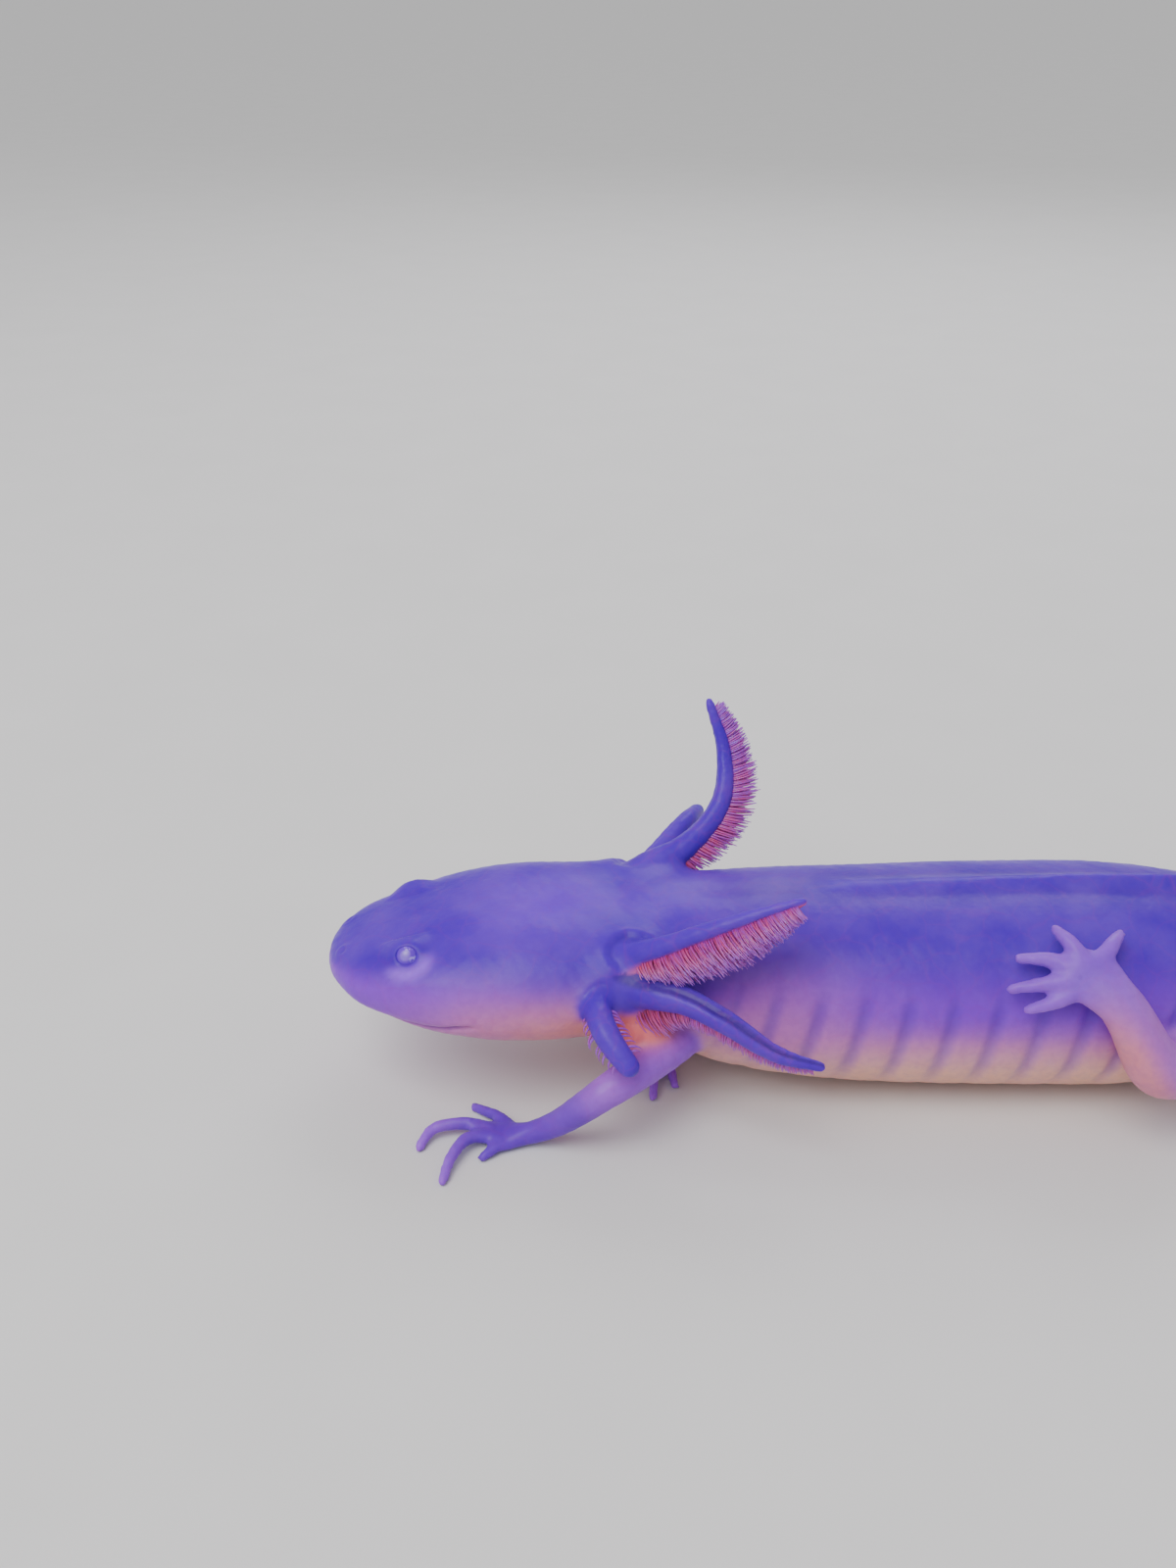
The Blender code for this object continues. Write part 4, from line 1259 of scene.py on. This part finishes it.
def skin_finish():
    """Moist, faintly see-through skin with soft mottling, small vessels, specks and pores."""
    made = Finish("moist_skin")
    place = made.place()
    tint = made.attribute("tint", "Color")
    thin = made.attribute("thin", "Fac")
    cloud = made.grey_ramp(made.noise(place, 130.0, 4.0, 0.55), (0.35, 0.0), (0.68, 1.0))
    colour = made.tinge(tint, MOTTLE, cloud, 0.09)
    grain = made.grey_ramp(made.noise(place, 900.0, 2.0), (0.42, 0.0), (0.62, 1.0))
    colour = made.tinge(colour, GRAIN, grain, 0.10)
    web = made.cells(made.wandering(place, 160.0, 0.006), 210.0, "DISTANCE_TO_EDGE")
    vessels = made.grey_ramp(web, (0.0, 1.0), (0.055, 0.0))
    colour = made.tinge(colour, VESSEL, vessels, made.spread(thin, 0.05, 0.34))
    dots = made.grey_ramp(made.cells(place, 150.0, "F1"), (0.045, 1.0), (0.075, 0.0))
    patches = made.grey_ramp(made.noise(place, 60.0), (0.5, 0.0), (0.6, 1.0))
    colour = made.tinge(colour, SPECK, made.multiply(dots, patches), 0.15)
    relief = made.bump(made.noise(place, 420.0, 4.0, 0.6), 0.22, 0.0005)
    relief = made.bump(made.cells(place, 1250.0, "SMOOTH_F1"), 0.14, 0.0002, relief)
    made.set(
        Base_Color=colour, Roughness=made.spread(made.noise(place, 300.0), 0.30, 0.52), Normal=relief,
        Subsurface_Weight=0.42, Subsurface_Radius=(1.0, 0.55, 0.75), Subsurface_Scale=0.0026,
        Coat_Weight=0.1, Coat_Roughness=0.2, Specular_IOR_Level=0.18, IOR=1.4,
    )
    return made.material


def filament_finish():
    """Coral filaments that turn lilac towards their tips."""
    made = Finish("gill_filaments")
    place = made.place()
    tip = made.attribute("tip", "Fac")
    shade = made.attribute("shade", "Fac")
    colour = made.tones(tip, ((0.0, CORAL_ROOT), (0.40, CORAL), (0.72, CORAL_PALE), (1.0, CORAL_TIP)))
    colour = made.tinge(colour, FRINGE_VIOLET, shade, 0.66)
    fleck = made.grey_ramp(made.noise(place, 1500.0, 2.0), (0.4, 0.0), (0.65, 1.0))
    colour = made.tinge(colour, FLECK_RED, fleck, 0.22)
    relief = made.bump(made.noise(place, 2600.0, 2.0), 0.2, 0.0001)
    made.set(
        Base_Color=colour, Roughness=0.38, Normal=relief, Subsurface_Weight=0.35,
        Subsurface_Radius=(1.0, 0.3, 0.25), Subsurface_Scale=0.0012, Coat_Weight=0.4, Coat_Roughness=0.18,
    )
    return made.material


def eye_finish():
    """A violet eye, a little paler in the middle, with silver flecks on its upper side: the iris's own
    flecks, shown only where light falls on them as a painted glint.
    """
    made = Finish("pale_eye")
    place = made.place()
    out = made.attribute("out", "Fac")
    jag = made.node("ShaderNodeMath", {"operation": "MULTIPLY_ADD"})
    for socket, value in zip(jag.inputs, (made.noise(place, 1100.0, 5.0, 0.7), 0.24, out)):
        made.feed(socket, value)
    colour = made.tones(jag.outputs[0], EYE_TONES)
    flecks = made.grey_ramp(made.noise(place, 1700.0, 3.0, 0.65), (0.51, 0.0), (0.57, 1.0))
    ring = made.grey_ramp(out, (0.30, 0.0), (0.40, 1.0), (0.72, 1.0), (0.9, 0.0))
    # The flecks show only on the side facing up and tailward: a painted glint.
    upper = made.attribute("upper", "Fac")
    colour = made.tinge(colour, SILVER, made.multiply(flecks, ring), upper)
    made.set(
        Base_Color=colour, Roughness=0.35, Subsurface_Weight=0.15, Subsurface_Radius=(1.0, 0.5, 0.5),
        Subsurface_Scale=0.0008, Coat_Weight=0.35, Coat_Roughness=0.08,
    )
    return made.material


# ---------------- pieces


def to_row(points, shift):
    """Points of the plan, in the frame's metres."""
    return (np.asarray(points, float) + shift) * MM


def finished(name, mesh, finish, nodes):
    """A piece of the animal, in place of the solids it stands for."""
    mesh.materials.append(finish)
    mesh.shade_smooth()
    piece = placed(name, mesh)
    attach(piece, "root")
    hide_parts(*nodes)
    return piece


def fine_mesh(shapes):
    """The shapes as one surface with rounded corners, finer round the face and along the gills."""
    mesh = one_surface(shapes)
    net = Net(mesh)
    fillet(net, part_shares(net, shapes))
    mesh.vertices.foreach_set("co", net.points.ravel())
    split_where(mesh, near_face)
    split_where(mesh, lambda middles: near_eye(middles, EYE_FINER))
    split_where(mesh, near_gills)
    return mesh


def add_forms(net, shares, facing, along, groove):
    """Moves the skin out and in by all its small forms."""
    s, y, z = body_place(net.points)
    on_body = net.blurred(shares["body"], 4)
    forms = head_forms(net.points, y, z, s) + trunk_forms(y, z, s) + vent(y, z, s)
    forms = on_body * forms + net.blurred(shares["gill"], 2) * gill_forms(facing, along, groove)
    net.points += (forms + fine_skin(net.points))[:, None] * net.normals()


def make_skin(shift):
    """One surface over all the flesh."""
    shapes = Shapes()
    for add in (add_body, add_fins, add_limbs, add_gills, add_gill_webs, add_cups):
        add(shapes)
    mesh = fine_mesh(shapes)
    net = Net(mesh)
    shares = part_shares(net, shapes)
    facing, along, away, groove = gill_facing(net.points)
    finer = near_face(net.points) | ((away < GILL_EVEN) & (along > GILL_EVEN_FROM))
    net.even(finer.astype(float), 6)
    add_forms(net, shares, facing, along, groove)
    shape_eyes(net)
    net.smooth(near_eye(net.points, EYE_SMOOTHED).astype(float), 2, 0.4)
    rest_on_floor(net)
    colours, thin = skin_colours(net, shares, facing, groove)
    mesh.vertices.foreach_set("co", to_row(net.points, shift).ravel())
    add_colour(mesh, "tint", colours)
    add_value(mesh, "thin", thin)
    mesh.name = "axolotl_skin"
    finished("axolotl_skin", mesh, skin_finish(), FLESH)


class Strands:
    """Filaments in one mesh, with each point's place on the UV map, share along and shade."""

    def __init__(self):
        self.points, self.faces, self.uvs, self.tips, self.shades = [], [], [], [], []

    def point(self, place, uv, tip, shade):
        """One point of a filament."""
        self.points.append(place)
        self.uvs.append(uv)
        self.tips.append(tip)
        self.shades.append(shade)

    def add(self, line, across, other, thick, shade, patch):
        """One filament, narrowing along its line and closed at both ends."""
        first, sides, steps = len(self.points), STRAND_SIDES, len(line)
        for centre, w in zip(line, np.linspace(0.0, 1.0, steps)):
            half = thick * (1.0 - STRAND_TAPER * w**STRAND_POWER)
            for c in range(sides):
                turn = 2 * math.pi * c / sides
                place = centre + (across * math.cos(turn) + other * math.sin(turn)) * half
                wide = PATCH_HALF * math.cos(turn) * (1 - 0.5 * w)
                self.point(place, (patch[0] + wide, patch[1] + PATCH_LENGTH * (w - 0.5)), w, shade)
        tip = line[-1] + (line[-1] - line[-2]) * STRAND_POINT
        self.point(tip, (patch[0], patch[1] + PATCH_TIP), 1.0, shade)
        self.faces += bands(first, steps, sides)
        last = first + (steps - 1) * sides
        self.faces += [(last + c, last + (c + 1) % sides, len(self.points) - 1) for c in range(sides)]
        self.faces.append(tuple(first + c for c in reversed(range(sides))))


def strand(plan, tube, side, row, t, s, draw):
    """One filament's line, the directions across it, its thickness, its shade and its UV patch."""
    centre, along, hang, normal = tube.place(s)
    radius = float(tube.size(s)[0])
    reach = plan["length"] * float(table_curve(plan["lengths"], t)) * draw.uniform(0.82, 1.08)
    spread = math.radians(plan["spread"]) * (0.72 + 0.36 * row) + draw.uniform(-0.10, 0.10)
    away = hang * math.cos(spread) + normal * side * math.sin(spread)
    root = centre + away * radius * STRAND_SINK
    lean = unit(away + along * draw.uniform(0.12, 0.34))
    onward = along * draw.uniform(0.3, 0.75)
    curl = unit(hang * 0.9 + onward - normal * side * draw.uniform(0.0, 0.35))
    total = reach + radius * 0.35
    line = root + np.array([
        lean * total * w + (curl - lean) * total * STRAND_CURL * w * w
        for w in np.linspace(0.0, 1.0, STRAND_STEPS)
    ])
    line[:, 2] = np.maximum(line[:, 2], STRAND_FLOOR)
    thick = plan["thickness"] * draw.uniform(0.85, 1.12)
    across = unit(np.cross(lean, along))
    shade = min(draw.uniform(0.0, 0.7) + plan["paler"] * t + plan["violet"], 1.5)
    patch = (0.02 + 0.96 * s / tube.at[-1], 0.25 + 0.5 * (side > 0) + 0.06 * row)
    return line, across, unit(np.cross(lean, across)), thick, shade, patch


def make_filaments(name, plan, finish, shift, draw):
    """The rows of filaments on both sides of a gill's stalk, as one joined mesh."""
    tube = gill_tube(plan)
    start = tube.at[-1] * plan["first"]
    end = tube.at[-1] * (FRINGE_END + FRINGE_OVER)
    count = max(int((end - start) / plan["spacing"]), 4)
    strands = Strands()
    for side in (-1, 1):
        for row in range(plan["rows"]):
            for i in range(count):
                t = min(max((i + 0.5 * row + draw.uniform(-0.3, 0.3)) / count, 0.0), 1.0)
                strands.add(*strand(plan, tube, side, row, t, start + (end - start) * t, draw))
    mesh = mesh_of(name, to_row(strands.points, shift), strands.faces)
    layer = mesh.uv_layers.new(name="OFBake")
    corners = np.empty(len(mesh.loops), int)
    mesh.loops.foreach_get("vertex_index", corners)
    layer.data.foreach_set("uv", np.asarray(strands.uvs)[corners].ravel())
    add_value(mesh, "tip", strands.tips)
    add_value(mesh, "shade", strands.shades)
    finished(name, mesh, finish, [name.replace("filaments_", "gill_") + "_fringe"])


def make_eye(side, finish, shift):
    """An eyeball, turned the way it looks, with a slightly raised clear front."""
    gaze = unit(GAZES[side])
    level = unit(np.cross(UP, gaze))
    rise = np.cross(gaze, level)
    rows, sides = EYE_ROWS, EYE_SIDES
    points, out, upper, faces = [], [], [], []
    # The side facing up and tailward, where the flecks' painted glint goes.
    tailward = unit(np.array((1.0, 0.0, 1.0)))
    for r in range(1, rows):
        turn = math.pi * r / rows
        radius = EYE_RADIUS * (1.0 + CORNEA_RISE * float(ramp(0.75, 0.2, turn)))
        for k in range(sides):
            a = 2 * math.pi * k / sides
            ring = (level * math.cos(a) + rise * math.sin(a)) * math.sin(turn)
            points.append(EYE_PLACES[side] + radius * (gaze * math.cos(turn) + ring))
            out.append(turn)
            upper.append(float(ramp(-0.25, 0.25, ring @ tailward)))
    for pole, turn in ((1.0 + CORNEA_RISE, 0.0), (-1.0, math.pi)):
        points.append(EYE_PLACES[side] + EYE_RADIUS * pole * gaze)
        out.append(turn)
        upper.append(0.0)
    front, back = len(points) - 2, len(points) - 1
    for k in range(sides):
        after = (k + 1) % sides
        for near in range(0, (rows - 2) * sides, sides):
            far = near + sides
            faces.append((near + k, far + k, far + after, near + after))
        faces.append((front, k, after))
        faces.append((back, (rows - 2) * sides + after, (rows - 2) * sides + k))
    mesh = mesh_of(f"eyeball_{side}", to_row(points, shift), faces)
    add_value(mesh, "out", out)
    add_value(mesh, "upper", upper)
    finished(f"eyeball_{side}", mesh, finish, [f"eye_{side}"])


# ---------------- floor, lights and camera


def make_floor():
    """A plain pale floor."""
    reach = FLOOR_REACH
    corners = [(-reach, -reach, 0.0), (reach, -reach, 0.0), (reach, reach, 0.0), (-reach, reach, 0.0)]
    mesh = mesh_of("floor", corners, [(0, 1, 2, 3)])
    made = Finish("floor_grey")
    grain = made.noise(made.place(), 40.0, 2.0)
    colour = made.mix(grain, *FLOOR_GREYS)
    made.set(Base_Color=colour, Roughness=0.85)
    mesh.materials.append(made.material)
    placed("floor", mesh)


def make_light(name, place, target, size, power, colour):
    """A soft square light that faces a point."""
    light = bpy.data.lights.new(name, "AREA")
    light.shape = "SQUARE"
    light.size = size
    light.energy = power
    light.color = colour
    found = placed(name, light)
    found.location = place
    found.rotation_euler = (Vector(target) - Vector(place)).to_track_quat("-Z", "Y").to_euler()


def make_studio(middle):
    """Soft light from above, the front and behind, and a wide one that the floor and the air share."""
    for name, (offset, height, size, power, colour) in LIGHTS.items():
        place = (middle[0] + offset[0], middle[1] + offset[1], height)
        make_light(name, place, middle, size, power, colour)
    sun = bpy.data.lights.new("sun", "SUN")
    sun.energy = SUN_POWER
    sun.angle = SUN_SPREAD
    found = placed("sun", sun)
    found.rotation_euler = (math.radians(SUN_TILT[0]), math.radians(SUN_TILT[1]), 0.0)
    world = bpy.data.worlds.new("studio")
    world.use_nodes = True
    air = world.node_tree.nodes["Background"].inputs
    air["Color"].default_value = AIR_COLOUR
    air["Strength"].default_value = AIR_POWER
    bpy.context.scene.world = world


def make_camera(shift):
    """The camera, on the animal's left and above it, looking across and down."""
    camera = bpy.data.cameras.new("camera")
    camera.lens = CAMERA_LENS
    camera.sensor_width = CAMERA_SENSOR
    camera.sensor_fit = "AUTO"
    camera.clip_start = 0.01
    found = placed("camera", camera)
    found.location = to_row(CAMERA_PLACE, shift)
    found.rotation_euler = (math.radians(90.0 - CAMERA_DOWN), 0.0, 0.0)
    bpy.context.scene.camera = found


def main():
    """Builds the looks, placed by the left eye's box."""
    low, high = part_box("eye_left")
    shift = np.array((low + high) / 2) / MM - np.array(EYE_PLACES["left"])
    draw = np.random.default_rng(7)
    make_skin(shift)
    coral = filament_finish()
    for name, plan in GILLS.items():
        make_filaments(name.replace("gill_", "filaments_"), plan, coral, shift, draw)
    pale = eye_finish()
    for side in EYE_PLACES:
        make_eye(side, pale, shift)
    make_floor()
    make_studio(to_row(STUDIO_MIDDLE, shift))
    make_camera(shift)


main()
